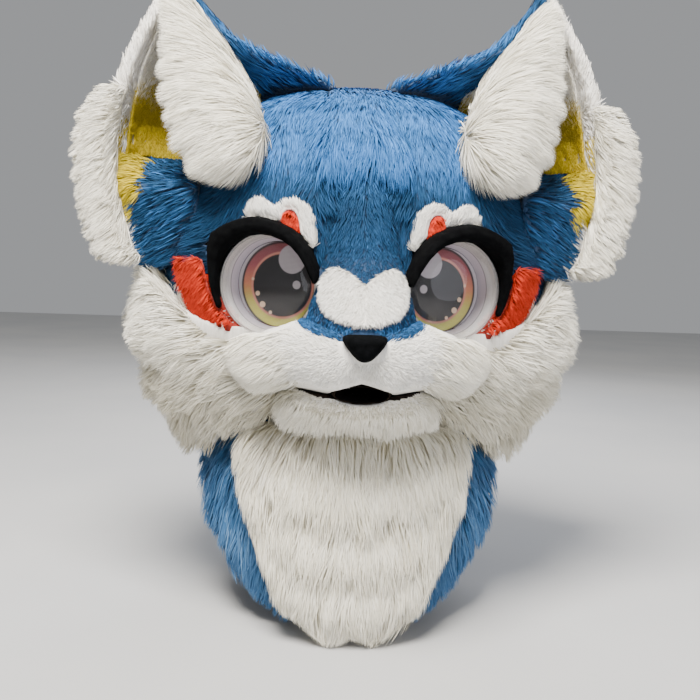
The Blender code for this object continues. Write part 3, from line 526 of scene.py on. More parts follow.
# %% Make a skin
def softened(name, source, finish, cell, rounds, keep=1.0):
    """A skin over a solid: cells in millimetres, rounds of smoothing, and the share of faces to keep."""
    work = bmesh.new()
    work.from_mesh(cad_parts[source].data)
    bmesh.ops.remove_doubles(work, verts=work.verts, dist=1e-6)
    mesh = bpy.data.meshes.new(name)
    work.to_mesh(mesh)
    work.free()
    made = add_object(name, mesh)
    bpy.ops.object.select_all(action="DESELECT")
    made.select_set(True)
    bpy.context.view_layer.objects.active = made
    cells = made.modifiers.new("cells", "REMESH")
    cells.mode = "VOXEL"
    cells.voxel_size = cell * MM
    relax = made.modifiers.new("relax", "SMOOTH")
    relax.iterations = rounds
    bpy.ops.object.modifier_apply(modifier="cells")
    bpy.ops.object.modifier_apply(modifier="relax")
    if keep < 1:
        fewer = made.modifiers.new("fewer", "DECIMATE")
        fewer.ratio = keep
        bpy.ops.object.modifier_apply(modifier="fewer")
    made.data.materials.clear()
    made.data.materials.append(finish)
    bpy.ops.object.shade_smooth()
    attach(made, "root")
    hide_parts(source)
    solid_under[name] = source
    print(f"{name}: {len(made.data.polygons)} faces")
    return made


def paint(skin, finish, chosen):
    """Faces whose centre passes the test take another finish."""
    skin.data.materials.append(finish)
    centres = np.array([face.center[:] for face in skin.data.polygons]) / MM
    for face, hit in zip(skin.data.polygons, chosen(centres)):
        if hit:
            face.material_index = len(skin.data.materials) - 1


# %% [markdown]
# ## Finishes
#
# Faux fur is acrylic pile: soft, matt, with a faint sheen where the fibres bend. Each fibre is darker at
# its root, where the others shade it, and pale at its tip. A picture of fur on a smooth surface would
# look flat, so the strands read their own map, and the undercoat between them reads its place on the
# object and shows short combed streaks. The inside is lined with jersey, and the lids, nose and mouth are
# fleece.


# %% Fur finishes
TIP_LIFT = 0.12  # how far a tip turns to the palest colour, where the light goes through it


def pile_fur(name, root, low, middle, high):
    """Strands: the tone runs up the map, and the way from root to tip runs across it."""
    made, tree, shader = new_finish(name, {"Roughness": 0.7, "Specular IOR Level": 0.05,
                                           "Sheen Weight": 0.02, "Sheen Roughness": 0.5})
    place = add_node(tree, "ShaderNodeUVMap", uv_map="OFBake")
    split = add_node(tree, "ShaderNodeSeparateXYZ", {"Vector": place})
    way, tone = split.outputs["X"], split.outputs["Y"]
    tint = ramp(tree, tone, (0.0, low), (0.5, middle), (1.0, high))
    depth = add_node(tree, "ShaderNodeMapRange", {"Value": way, "From Max": 0.45, "To Min": 1.0,
                                                  "To Max": 0.0})
    shaded = add_node(tree, "ShaderNodeMix", {0: depth, 6: tint, 7: colour(root)}, data_type="RGBA")
    light = add_node(tree, "ShaderNodeMapRange", {"Value": way, "From Min": 0.5, "To Max": TIP_LIFT})
    tipped = add_node(tree, "ShaderNodeMix", {0: light, 6: shaded.outputs[2], 7: colour(high)},
                      data_type="RGBA")
    fibres = add_node(tree, "ShaderNodeMapping", {"Vector": place, "Scale": (2.5, 330, 1)})
    streak = add_node(tree, "ShaderNodeTexNoise", {"Vector": fibres, "Scale": 1.0, "Detail": 1.0})
    bright = add_node(tree, "ShaderNodeMapRange", {"Value": streak, "From Min": 0.3, "From Max": 0.7,
                                                   "To Min": 0.9, "To Max": 1.07})
    hairs = add_node(tree, "ShaderNodeVectorMath", {0: tipped.outputs[2], "Scale": bright}, operation="SCALE")
    set_inputs(shader, {"Base Color": hairs})
    return made


def undercoat(name, dark, light):
    """Skins: matt, with streaks that run down the object, two millimetres wide and far longer."""
    made, tree, shader = new_finish(name, {"Roughness": 0.85, "Sheen Weight": 0.1})
    place = add_node(tree, "ShaderNodeTexCoord").outputs["Object"]
    stretched = add_node(tree, "ShaderNodeMapping", {"Vector": place, "Scale": (420, 420, 70)})
    hairs = add_node(tree, "ShaderNodeTexNoise", {"Vector": stretched, "Scale": 1.0, "Detail": 3.0})
    patches = add_node(tree, "ShaderNodeTexNoise", {"Vector": place, "Scale": 22.0, "Detail": 2.0})
    both = add_node(tree, "ShaderNodeMath", {0: hairs, 1: patches}, operation="ADD")
    mean = add_node(tree, "ShaderNodeMath", {0: both, 1: 0.5}, operation="MULTIPLY")
    relief = add_node(tree, "ShaderNodeBump", {"Height": hairs, "Strength": 0.5, "Distance": 0.0015})
    set_inputs(shader, {"Base Color": ramp(tree, mean, (0.36, dark), (0.62, light)), "Normal": relief})
    return made


# Blue reads as deep navy between the strands and as slate where they turn to the light.
BLUE_PILE = pile_fur("blue_acrylic_pile", "#0e2033", "#152b42", "#1f4161", "#4583cc")
LONG_BLUE = pile_fur("blue_long_acrylic_pile", "#1a3550", "#23466b", "#3f6d9b", "#86abd2")
# White pile is warm: grey-beige at its roots, near white at its tips, and warmer still on bib and cheeks.
WHITE_PILE = pile_fur("white_acrylic_pile", "#dcd8ce", "#e6e2d9", "#f6f3ee", "#fefdfb")
LONG_CREAM = pile_fur("warm_white_long_acrylic_pile", "#cfc6a6", "#ddd4b8", "#f2eddc", "#fcfaf1")
LONG_WHITE = pile_fur("white_long_acrylic_pile", "#b5ae98", "#cfc8b2", "#f3efe1", "#fdfbf3")
SHAVED_WHITE = pile_fur("white_shaved_acrylic_pile", "#dfdcd4", "#eae7df", "#f8f6f0", "#fefefb")
# The dyed red is even and deep. The yellow is paint blown over plush, so it is dull and a little brown.
RED_PILE = pile_fur("red_acrylic_pile", "#7e1a10", "#a22617", "#c2321e", "#d8492d")
YELLOW_PILE = pile_fur("airbrushed_yellow_plush", "#9a8410", "#a89216", "#c6b02a", "#dccb4c")
# Underfur is darker and duller than the pile over it: painted shade, where the strands over it shade it.
BLUE_SKIN = undercoat("blue_underfur", "#0f263f", "#1a3d62")
WHITE_SKIN = undercoat("white_underfur", "#d8d4ca", "#efece6")
CREAM_SKIN = undercoat("warm_white_underfur", "#cbc5b2", "#e8e3d5")
YELLOW_SKIN = undercoat("airbrushed_yellow_underfur", "#a8921f", "#c9b535")
RED_SKIN = undercoat("red_underfur", "#8a2013", "#b5301d")


# %% Cloth finishes
def knit_lining(name, dark, light):
    """Jersey, dull and dark, with rows of stitches that are coarser than real so that they show."""
    made, tree, shader = new_finish(name, {"Roughness": 0.92})
    place = add_node(tree, "ShaderNodeTexCoord").outputs["Object"]
    rows = add_node(tree, "ShaderNodeTexWave", {"Vector": place, "Scale": 160.0, "Distortion": 1.2,
                                                "Detail": 1.0}, bands_direction="Z").outputs["Fac"]
    relief = add_node(tree, "ShaderNodeBump", {"Height": rows, "Strength": 0.4, "Distance": 0.0006})
    set_inputs(shader, {"Base Color": ramp(tree, rows, (0.0, dark), (1.0, light)), "Normal": relief})
    return made


def fleece(name, dark, light, sheen):
    """Anti-pill fleece: a nap of fine curls, almost without gloss, that greys a little at its edges."""
    made, tree, shader = new_finish(name, {"Roughness": 0.95, "Specular IOR Level": 0.05,
                                           "Sheen Weight": sheen, "Sheen Roughness": 0.4,
                                           "Sheen Tint": colour("#4a4d55")})
    place = add_node(tree, "ShaderNodeTexCoord").outputs["Object"]
    nap = add_node(tree, "ShaderNodeTexNoise", {"Vector": place, "Scale": 1400.0, "Detail": 3.0,
                                                "Roughness": 0.7})
    tufts = add_node(tree, "ShaderNodeTexNoise", {"Vector": place, "Scale": 160.0, "Detail": 2.0})
    mixed = add_node(tree, "ShaderNodeMath", {0: nap, 1: 0.6, 2: tufts}, operation="MULTIPLY_ADD")
    relief = add_node(tree, "ShaderNodeBump", {"Height": mixed, "Strength": 0.5, "Distance": 0.0008})
    set_inputs(shader, {"Base Color": ramp(tree, mixed, (0.55, dark), (1.0, light)), "Normal": relief})
    return made


LID_FLEECE = fleece("black_lid_fleece", "#020203", "#08090a", 0.02)
NOSE_FLEECE = fleece("black_nose_fleece", "#020303", "#0a0b0d", 0.03)
MOUTH_CLOTH = fleece("dark_mouth_cloth", "#0c0908", "#241c16", 0.1)
LINING = knit_lining("charcoal_jersey_lining", "#26282c", "#3a3d42")
print("finishes:", len(bpy.data.materials))

# %% [markdown]
# ## The head
#
# The head is one blue skin over the foam, open below for the wearer. Functions of place say where it is
# blue, white or red and where its lining starts, and each face takes the finish of its own place, so no
# skin has to be cut. The pile is combed down the forehead and the back. At the temples it turns outward
# and runs toward the ears. Under the eyes the face is white and clipped shorter.


# %% Where the head's colours lie
HEAD_HOLLOW = (119, 125, 6)  # half its width, half its depth and its top
RUFF_HOLLOW = (117, 121, -240)
FACE_FRONT = -60  # what lies nearer to the viewer belongs to the face


def in_the_hollow(points, half_width, half_depth, top):
    """True inside an upright tube whose plan is between a round and a rounded square."""
    x, y, z = one_side(points)
    return ((x / half_width) ** 2.2 + (np.abs(y) / half_depth) ** 2.2 < 1) & (z < top)


def front_angle(points):
    """0 at the face, 90 at the side, 180 at the back, in degrees."""
    return np.degrees(np.arctan2(np.abs(points[:, 0]), -points[:, 1]))


# The upper edge of the cheek fluff: its height at each angle round the head.
FLUFF_TOP = [(0, -160), (18, -160), (30, -152), (46, -147), (58, -137), (70, -115), (82, -107), (96, -107),
             (112, -112), (126, -124), (133, -236), (180, -236)]


def above_the_fluff(points, margin=0.0):
    angles, tops = zip(*FLUFF_TOP)
    return points[:, 2] > np.interp(front_angle(points), angles, tops) + margin


def on_the_head(points, normals):
    """True on the outside of the shell, its crown too, and away from the eye sockets."""
    half_width, half_depth, top = HEAD_HOLLOW
    whole = ~in_the_hollow(points, half_width + 2, half_depth + 2, math.inf)
    whole |= (points[:, 2] > top - 2) & (normals[:, 2] > 0.1)
    whole &= ~(over_the_eye(points) & (points[:, 1] < FACE_FRONT))
    return whole & (normals[:, 2] > -0.92)


def white_face(points):
    """The white part of the face, under the eyes and beside the muzzle."""
    lean = 0.18 * np.maximum(np.abs(points[:, 0]) - 85, 0)
    return (points[:, 1] < -50) & (points[:, 2] < -135 + lean) & (front_angle(points) < 75)


# %% How the head's fur lies
def head_flow(points, normals):
    x, y, z = points.T
    side = np.sign(x)
    out = unit(direction(x * 0.6, y + 15, 0))
    down = direction(0.12 * side * smooth(np.abs(x), 15, 90), 0, -1) + out * smooth(z, 20, 70)[:, None]
    temple = smooth(np.abs(x), 96, 142) * smooth(-y, 10, 60) * smooth(-z, -45, 0) * smooth(z, -135, -95)
    outward = direction(side, 0.5, -0.28)
    wander = direction(0.25 * drift(points, 60, 3), 0.0, 0.0)
    return unit(down) * (1 - temple)[:, None] + outward * temple[:, None] + wander


def head_length(points):
    x, y, z = points.T
    temple = smooth(np.abs(x), 90, 140) * smooth(-y, -20, 40) * smooth(z, -140, -100)
    back = smooth(y, 20, 90)
    brow = smooth(-y, 110, 140) * (1 - smooth(np.abs(x), 40, 80))
    return 1 + 0.7 * temple + 0.5 * back - 0.25 * brow


# %% How thick the head's fur grows, and its tone with painted sheen and shade
def round_the_eye(points):
    """Distance from the eye's axis, and the place away from the nose and up."""
    away, up, _ = eye_places(points)
    return np.hypot(away, up), away, up


def red_ring(points):
    """The red fur that runs up to the eye below it and on its outer side."""
    far, away, up = round_the_eye(points)
    return (far < 62) & (far > 44) & (away > 15) & (up < 6) & (points[:, 1] < FACE_FRONT)


def white_ring(points):
    """The white fur that runs up to the eye on its inner side."""
    far, away, up = round_the_eye(points)
    return (far < 58) & (far > 44) & (away <= 17) & (up < -30) & (points[:, 1] < FACE_FRONT)


def front_want(points, normals):
    bare = white_face(points) | red_ring(points)
    return on_the_head(points, normals) * (points[:, 1] < 15) * above_the_fluff(points) * ~bare * 1.0


def back_want(points, normals):
    return on_the_head(points, normals) * (points[:, 1] >= 15) * above_the_fluff(points, -6) * 1.0


def hem_want(points, normals):
    """The lower hem at the nape, where the head meets the ruff."""
    hem = (points[:, 2] < -206) * (points[:, 1] > 30) * (normals[:, 2] > -0.6)
    return on_the_head(points, normals) * hem * 1.0


def face_want(points, normals):
    return on_the_head(points, normals) * white_face(points) * above_the_fluff(points, -25) * 1.0


def forehead_sheen_and_shade(points):
    """Painted sheen and shade: the upper forehead is painted paler where the pile would shine as it bends
    over it, lower down it is painted darker, and the temples stay deep blue.
    """
    temple = smooth(np.abs(points[:, 0]), 80, 130)
    return 0.46 * smooth(points[:, 2], -45, 10) * (1 - 0.8 * temple) - 0.16


# %% Head skin and fur
FRONT_PILE = Coat(16, 0.95, 2.0, stray=0.09, hug=0.006, lock=5, pull=0.22, mottle=0.09, swirl=0.08)
BACK_PILE = Coat(25, 2.2, 3.0, stray=0.12, hug=0.006, lock=6, pull=0.3, mottle=0.09)
HEM_COAT = Coat(34, 2.0, 9.0, stray=0.14, fall=0.1, lock=6, pull=0.3, reach=26.0, mottle=0.09)
FACE_COAT = Coat(9, 1.2, 2.0, stray=0.2, hug=0.006)
head_skin = softened("head_skin", "head_shell", BLUE_SKIN, cell=4.5, rounds=4, keep=0.25)
paint(head_skin, LINING, lambda p: in_the_hollow(p, *HEAD_HOLLOW))
paint(head_skin, WHITE_SKIN, lambda p: white_face(p) & (p[:, 1] < FACE_FRONT))
paint(head_skin, RED_SKIN, red_ring)
paint(head_skin, LID_FLEECE, lambda p: over_the_eye(p) & (p[:, 1] < FACE_FRONT) & (eye_places(p)[1] > -14))

# The crown's tone holds the forehead's painted sheen and shade.
grow("crown_fur", head_skin, 38000, front_want, head_flow, FRONT_PILE, BLUE_PILE, tone=forehead_sheen_and_shade,
     length=head_length, seed=11)
grow("nape_fur", head_skin, 13000, back_want, head_flow, BACK_PILE, BLUE_PILE, length=head_length, seed=12)
grow("nape_hem_fur", head_skin, 3200, hem_want, lambda p, n: n + direction(0, 0, -1.6), HEM_COAT, BLUE_PILE,
     tone=lambda p: -0.05, seed=14)
grow("face_fur", head_skin, 9000, face_want, leaning(0.9, 0.2, -0.7), FACE_COAT, WHITE_PILE, seed=13)


# %% Fur up to the eyes
def from_the_eye(points, normals):
    side = np.sign(points[:, 0])
    _, away, up = round_the_eye(points)
    return direction(side * away / 46, 0.0, up / 46 - 0.3)


EDGE_COAT = Coat(9, 0.9, 3.0, vary=0.35, stray=0.25)
grow("red_edge_fur", head_skin, 5000, lambda p, n: 1.0 * red_ring(p), from_the_eye, EDGE_COAT, RED_PILE,
     seed=15)
grow("white_edge_fur", head_skin, 3000, lambda p, n: 1.0 * white_ring(p), from_the_eye, EDGE_COAT, WHITE_PILE,
     seed=16)

# %% [markdown]
# ## The ears
#
# Each ear is a cupped shell. Its back is blue and combed toward the tip, its inside is lined with clipped
# cream plush that was airbrushed yellow further down, and long white fur frames its rim and hangs over
# its inner edge.


# %% Where the ears' colours lie
def ear_flow(points, normals):
    x, _, z = points.T
    side = np.sign(x)
    up = direction(0.35 * side, 0.12, 0.9)
    foot = direction(0.9 * side, 0.35, -0.45)
    low = smooth(-z, -10, 45)[:, None]
    return up * (1 - low) + foot * low


def ear_white(points):
    """The outer rim of the ear is white, and the rest of its shell blue."""
    x, y, z = one_side(points)
    edge = np.interp(z, [-104, -66, 5, 62, 118, 184], [203, 212, 218, 212, 203, 176])
    return (x > edge) & (y < 8)


def ear_yellow(points):
    """Below the lining the airbrushed yellow runs on over the fur, and fades."""
    x, y, z = one_side(points)
    soft = 5 * drift(points, 22, 9)
    inner = (x > 207 + soft) & (x < 224 + soft - 0.38 * (y + 10))
    return inner & (z > -44 + soft) & (z < 12) & (y < -14)


def beside_the_yellow(points):
    """The white edge next to the airbrushed lining, which caught some of the paint."""
    x, y, z = one_side(points)
    edge = np.interp(z, [-44, 5, 62], [214, 228, 224])
    return ear_white(points) & (x < edge + 13) & (z > -40) & (z < 46) & (y < -20)


def rim_flow(points, normals):
    side = np.sign(points[:, 0])
    lift = (points[:, 2] - 75) / 150
    return direction(side, -0.1, np.clip(lift, -0.75, 0.8))


def edge_flow(points, normals):
    """Outward beside the long rim fur, and up along the edge above it."""
    high = smooth(points[:, 2], 58, 80)[:, None]
    up = direction(0.15 * np.sign(points[:, 0]), 0.0, 1.0)
    return rim_flow(points, normals) * (1 - high) + up * high


def edge_length(points):
    return 1 - 0.5 * smooth(points[:, 2], 58, 80)


def blue_ear(points, normals):
    return 1.0 * ~(ear_white(points) | ear_yellow(points))


def white_ear(points, normals):
    return 1.0 * (ear_white(points) & ~ear_yellow(points))


def yellow_ear(points, normals):
    return 1.0 * ear_yellow(points) + 0.25 * beside_the_yellow(points)


def ear_painted_light(points):
    """Painted light: paler on the inner side, which the light reaches over the crown."""
    x, y, _ = one_side(points)
    return 0.24 * smooth(-x, -170, -110) * smooth(-y, -50, 0)


# %% Ear skins and fur
BLUE_EAR_COAT = Coat(20, 1.6, 2.6, stray=0.12, hug=0.003, lock=6, pull=0.3, mottle=0.09)
WHITE_EAR_COAT = Coat(17, 1.2, 2.6, stray=0.2, hug=0.003, lock=5, pull=0.25)
for hand in ("left", "right"):
    ear_skin = softened(f"ear_skin_{hand}", f"ear_{hand}", BLUE_SKIN, cell=3.6, rounds=3, keep=0.3)
    paint(ear_skin, WHITE_SKIN, ear_white)
    paint(ear_skin, YELLOW_SKIN, ear_yellow)
    # The blue ear fur's tone holds painted light on the ear's inner side.
    grow(f"ear_fur_{hand}", ear_skin, 9500, blue_ear, ear_flow, BLUE_EAR_COAT, BLUE_PILE, tone=ear_painted_light,
         seed=21)
    grow(f"ear_edge_fur_{hand}", ear_skin, 5000, white_ear, edge_flow, WHITE_EAR_COAT, WHITE_PILE,
         length=edge_length, seed=22)
    grow(f"ear_yellow_fur_{hand}", ear_skin, 2200, yellow_ear, rim_flow, WHITE_EAR_COAT, YELLOW_PILE, seed=25)

# %% Ear rim and tuft
RIM_COAT = Coat(24, 0.95, 2.5, vary=0.55, stray=0.12, fall=0.08, wave=0.6, waves=0.6, lock=9,
                pull=0.6, reach=8.5, swirl=0.12, swirl_size=24, stand=1.0)
TUFT_COAT = Coat(36, 1.0, 3.5, vary=0.55, stray=0.16, fall=0.12, wave=0.8, waves=0.6, lock=6,
                 pull=0.35, reach=15.0, swirl=0.12, swirl_size=34, stand=0.7)


def tuft_flow(points, normals):
    side = np.sign(points[:, 0])
    up = smooth(points[:, 2], 20, 120)
    return direction(side * 0.9, 0.25, -0.35 + 0.75 * up)


for hand in ("left", "right"):
    rim_skin = softened(f"ear_rim_skin_{hand}", f"ear_rim_fur_{hand}", WHITE_SKIN,
                        cell=2.4, rounds=8, keep=0.45)
    grow(f"ear_rim_strands_{hand}", rim_skin, 9000, everywhere, rim_flow, RIM_COAT, LONG_WHITE,
         length=lambda p: 1 - 0.65 * smooth(p[:, 2], 28, 58), seed=23)
    tuft_skin = softened(f"ear_tuft_skin_{hand}", f"ear_tuft_{hand}", WHITE_SKIN,
                         cell=3, rounds=20, keep=0.35)
    grow(f"ear_tuft_strands_{hand}", tuft_skin, 10000, lambda p, n: 1.0 * (n[:, 1] < 0.5) + 0.2, tuft_flow,
         TUFT_COAT, LONG_WHITE, seed=24)


# %% Ear lining
def lining_plush(name):
    """Clipped plush: matt and speckled, airbrushed from cream at the top to yellow and ochre lower down."""
    made, tree, shader = new_finish(name, {"Roughness": 0.9})
    place = add_node(tree, "ShaderNodeTexCoord").outputs["Object"]
    height = add_node(tree, "ShaderNodeSeparateXYZ", {"Vector": place}).outputs["Z"]
    cloud = add_node(tree, "ShaderNodeTexNoise", {"Vector": place, "Scale": 38.0, "Detail": 3.0})
    edge = add_node(tree, "ShaderNodeMath", {0: cloud, 1: 0.030, 2: height}, operation="MULTIPLY_ADD")
    share = add_node(tree, "ShaderNodeMapRange", {"Value": edge, "From Min": 0.050, "From Max": 0.096})
    tint = ramp(tree, share, (0.0, "#bfa61c"), (0.45, "#cdb83a"), (1.0, "#fbf7ea"))
    fibres = add_node(tree, "ShaderNodeTexNoise", {"Vector": place, "Scale": 900.0, "Detail": 2.0})
    shade = add_node(tree, "ShaderNodeMapRange", {"Value": fibres, "To Min": 0.72, "To Max": 1.2})
    mixed = add_node(tree, "ShaderNodeVectorMath", {0: tint, "Scale": shade}, operation="SCALE")
    relief = add_node(tree, "ShaderNodeBump", {"Height": fibres, "Strength": 0.6, "Distance": 0.001})
    set_inputs(shader, {"Base Color": mixed, "Normal": relief})
    return made


LINING_PLUSH = lining_plush("airbrushed_cream_plush")


STANDING = leaning(0.2, 0.0, 1.0)
SPRAYED_COAT = Coat(4, 0.8, 1.6, levels=1, stray=0.35)
PLUSH_COAT = Coat(5, 0.8, 1.8, levels=1, stray=0.35)


def above_the_paint(points):
    """0 where the plush is yellow, 1 where it is cream, with a cloudy edge between."""
    return smooth(points[:, 2] + 8 * drift(points, 30, 5), 58, 84)


for hand in ("left", "right"):
    lining = softened(f"ear_lining_skin_{hand}", f"ear_lining_{hand}", LINING_PLUSH,
                      cell=1.2, rounds=2, keep=0.06)
    grow(f"ear_lining_yellow_pile_{hand}", lining, 6500,
         lambda p, n: (n[:, 1] < 0.4) * (1 - above_the_paint(p)) + 0.001, STANDING, SPRAYED_COAT, YELLOW_PILE,
         seed=31)
    grow(f"ear_lining_cream_pile_{hand}", lining, 4000,
         lambda p, n: (n[:, 1] < 0.4) * above_the_paint(p) + 0.001, STANDING, PLUSH_COAT, WHITE_PILE, seed=32)

# %% [markdown]
# ## Muzzle, bridge and jaw
#
# These are shaved close, so the pile is four to seven millimetres and shows the form under it. The pile
# leans away from the nose all round. The bridge is blue with a white heart-shaped patch in the middle.


# %% Muzzle and bridge
NOSE_TIP = np.array([0.0, -222.0, -168.0])


def from_the_nose(points, normals):
    return points - NOSE_TIP


SHAVED = Coat(4.6, 0.85, 1.8, levels=1, stray=0.3, roll=0.5, mottle=0.17, swirl=0.3, swirl_size=14)
CLIPPED = Coat(6.5, 0.9, 1.6, stray=0.2, lock=6, pull=0.25)
BAND_COAT = Coat(4.5, 0.9, 1.5, stray=0.3)
OVERLAP = Coat(27, 1.0, 8.0, stray=0.12, lock=5, pull=0.25, reach=16.0, mottle=0.09)
SEAM_COAT = Coat(17, 0.95, 5.0, stray=0.1, lock=5, pull=0.2, reach=12.0, mottle=0.09)
MIXING = Coat(32, 1.0, 6.0, stray=0.22, fall=0.15, lock=6, pull=0.4, reach=22.0, swirl=0.2,
              stand=0.6)
muzzle_skin = softened("muzzle_skin", "muzzle", WHITE_SKIN, cell=2.0, rounds=3, keep=0.4)
jaw_skin = softened("jaw_skin", "lower_jaw", WHITE_SKIN, cell=2.0, rounds=3, keep=0.4)
bridge_skin = softened("bridge_skin", "nose_bridge", BLUE_SKIN, cell=2.4, rounds=3, keep=0.5)
patch_skin = softened("patch_skin", "bridge_patch", WHITE_SKIN, cell=1.6, rounds=3, keep=0.4)


def under_the_lip(points):
    """The dark line where the muzzle's lobes close over the jaw: the dark mouth cloth shows there, and the
    dark finish on the jaw also stands in for the seam's shade.
    """
    x, y, z = one_side(points)
    return (x < 64) & (y < -150) & (z > -209.5 + 3 * smooth(x, 25, 55))


# The jaw's top takes the mouth cloth: partly the real dark line, partly painted shade of the seam.
paint(jaw_skin, MOUTH_CLOTH, under_the_lip)


def blue_band(points):
    """The blue over the nose runs down onto the top of the muzzle."""
    x, y, z = one_side(points)
    edge = np.interp(x, [0, 20, 36, 50, 56, 60], [-160, -159.5, -157, -152.5, -147, -130])
    return (z > edge) & (y < -140)


paint(muzzle_skin, BLUE_SKIN, blue_band)


def muzzle_length(points):
    return 1 + 1.6 * smooth(np.abs(points[:, 0]), 35, 85)


def bridge_tone(points):
    """The forehead's painted sheen and shade, as above, and lighter again on the band over the nose."""
    return forehead_sheen_and_shade(points) + 0.22 * smooth(-points[:, 2], 125, 145)


def above_the_bridge(points, normals):
    x, y, z = one_side(points)
    return (x < 38) * (z > -12) * (z < 22) * (y < FACE_FRONT) * 1.0


def beside_the_bridge(points, normals):
    x, y, z = one_side(points)
    edge = np.interp(z, [-112, -88, -62, -36, -10], [48, 42, 38, 32, 22])
    return (x > edge - 1) * (x < edge + 11) * (z > -112) * (z < -6) * (y < FACE_FRONT) * 1.0


def muzzle_edge_flow(points, normals):
    return direction(np.sign(points[:, 0]), 0.3, -0.45 + 0.7 * smooth(points[:, 2], -175, -145))


# %% Muzzle, bridge and jaw fur
grow("muzzle_pile", muzzle_skin, 32000, lambda p, n: (n[:, 2] > -0.6) * ~blue_band(p) * 1.0, from_the_nose,
     SHAVED, SHAVED_WHITE, length=muzzle_length, seed=41)
# Painted shade: the jaw's pile takes the long pile's darker colours and a lower tone toward its bottom, for
# the shade under the muzzle.
grow("jaw_pile", jaw_skin, 12000, lambda p, n: 1.0 * ~under_the_lip(p), from_the_nose, SHAVED, LONG_WHITE,
     tone=lambda p: -0.25 * smooth(-p[:, 2], 205, 222), seed=42)
# The bridge's top and side fur take the forehead's painted sheen and shade in their tone.
grow("bridge_top_fur", head_skin, 1500, above_the_bridge, head_flow, OVERLAP, BLUE_PILE, tone=forehead_sheen_and_shade,
     seed=47)
grow("bridge_side_fur", head_skin, 2600, beside_the_bridge, leaning(-0.35, 0.0, -1.0), SEAM_COAT, BLUE_PILE,
     tone=forehead_sheen_and_shade, seed=49)
grow("muzzle_edge_fur", muzzle_skin, 12500, lambda p, n: smooth(np.abs(p[:, 0]), 50, 90) * (n[:, 1] < 0.3),
     muzzle_edge_flow, MIXING, LONG_WHITE, length=lambda p: 0.25 + 0.85 * smooth(np.abs(p[:, 0]), 52, 88),
     seed=45)
grow("jaw_edge_fur", jaw_skin, 6000,
     lambda p, n: smooth(-p[:, 2], 216, 230) + smooth(np.abs(p[:, 0]), 38, 60),
     lambda p, n: direction(0.7 * p[:, 0] / 70, 0.3, -1.0), MIXING, LONG_WHITE,
     length=lambda p: 0.2 + 0.35 * smooth(p[:, 1], -190, -150), seed=46)
# The bridge and the band over the nose take the forehead's painted sheen and shade in their tone.
grow("bridge_pile", bridge_skin, 18500, everywhere, leaning(0.25, -0.2, -1.0), CLIPPED, BLUE_PILE,
     tone=bridge_tone, length=lambda p: 0.55 + 1.3 * smooth(p[:, 2], -100, -50), seed=43)
grow("band_pile", muzzle_skin, 2600, lambda p, n: 1.0 * blue_band(p), from_the_nose, BAND_COAT, BLUE_PILE,
     tone=bridge_tone, seed=48)
grow("patch_pile", patch_skin, 12000, everywhere, leaning(0.3, -0.1, -1.0), SHAVED, SHAVED_WHITE, seed=44)

# %% [markdown]
# ## Markings
#
# The brow patches and the red marks are short fur sewn into the blue and white, with edges that mix a
# little with the fur round them.

# %% Brows and cheek marks
MARK_COAT = Coat(9, 0.9, 2.4, stray=0.16, vary=0.3)
# The outline of the red spot in the brow, as (away from the middle, up) in millimetres.
SPOT = [(71, -50), (73, -58), (70, -69), (62, -81), (54, -84), (53, -72), (55, -58), (60, -50)]


def over_the_spot(points):
    x, _, z = one_side(points)
    return inside(SPOT, x, z)


for hand in ("left", "right"):
    brow_skin = softened(f"brow_skin_{hand}", f"brow_patch_{hand}", WHITE_SKIN, cell=1.5, rounds=3)
    grow(f"brow_fur_{hand}", brow_skin, 4200, everywhere, leaning(0.35, 0.1, 1.0), CLIPPED, SHAVED_WHITE,
         seed=51, shun=over_the_spot)
    spot_skin = softened(f"brow_spot_skin_{hand}", f"brow_spot_{hand}", RED_SKIN, cell=1.2, rounds=2)
    grow(f"brow_spot_fur_{hand}", spot_skin, 1800, everywhere, leaning(0.2, 0.0, -1.0), CLIPPED, RED_PILE,
         seed=52)
    mark_skin = softened(f"cheek_mark_skin_{hand}", f"cheek_mark_{hand}", RED_SKIN,
                         cell=1.8, rounds=3, keep=0.5)
    grow(f"cheek_mark_fur_{hand}", mark_skin, 5600, everywhere, leaning(0.6, 0.3, -0.8), MARK_COAT, RED_PILE,
         seed=53)

# %% [markdown]
# ## Cheeks, ruff and bib
#
# This is the long pile, forty to sixty millimetres, which falls in soft locks. The cheeks sweep outward
# and down, the blue ruff hangs straight, and the bib hangs in wavy locks that end in points.


# %% Long fur
def cheek_flow(points, normals):
    x, y, z = points.T
    side = np.sign(x)
    low = smooth(-z, 175, 270)
    top = smooth(z, -135, -112)
    back = smooth(y, -20, 80)
    return direction(side * (1.0 - 0.45 * low), 0.15 + 0.5 * back, -0.22 - 0.9 * low + 0.6 * top)


def hanging(points, normals):
    return direction(points[:, 0] * 0.0015, points[:, 1] * 0.0010, -1.0)


CHEEK_COAT = Coat(44, 1.05, 6.0, levels=3, vary=0.5, stray=0.2, hug=0.004, fall=0.12, wave=1.6, waves=0.8,
                  lock=9, pull=0.6, reach=13.0, swirl=0.3, swirl_size=30, stand=1.0)
TOP_COAT = Coat(19, 1.0, 2.0, vary=0.5, stray=0.25, lock=5, pull=0.5, reach=17.0, swirl=0.25,
                stand=1.0)
RUFF_COAT = Coat(50, 1.5, 5.0, vary=0.4, stray=0.14, fall=0.1, wave=2.2, waves=0.8, lock=10,
                 pull=0.6, swirl=0.22, swirl_size=36, stand=0.3)
BIB_COAT = Coat(60, 1.15, 8.0, levels=3, vary=0.35, stray=0.13, fall=0.1, wave=2.4, waves=0.9,
                lock=10, pull=0.5, reach=10.0, swirl=0.2, swirl_size=34)


# %% Cheek, ruff and bib fur
def reach_floor(points):
    """Strands near the lowest hem are shorter, so that they end where the hem ends."""
    return np.clip((points[:, 2] + 452) / 46, 0.25, 1.0)


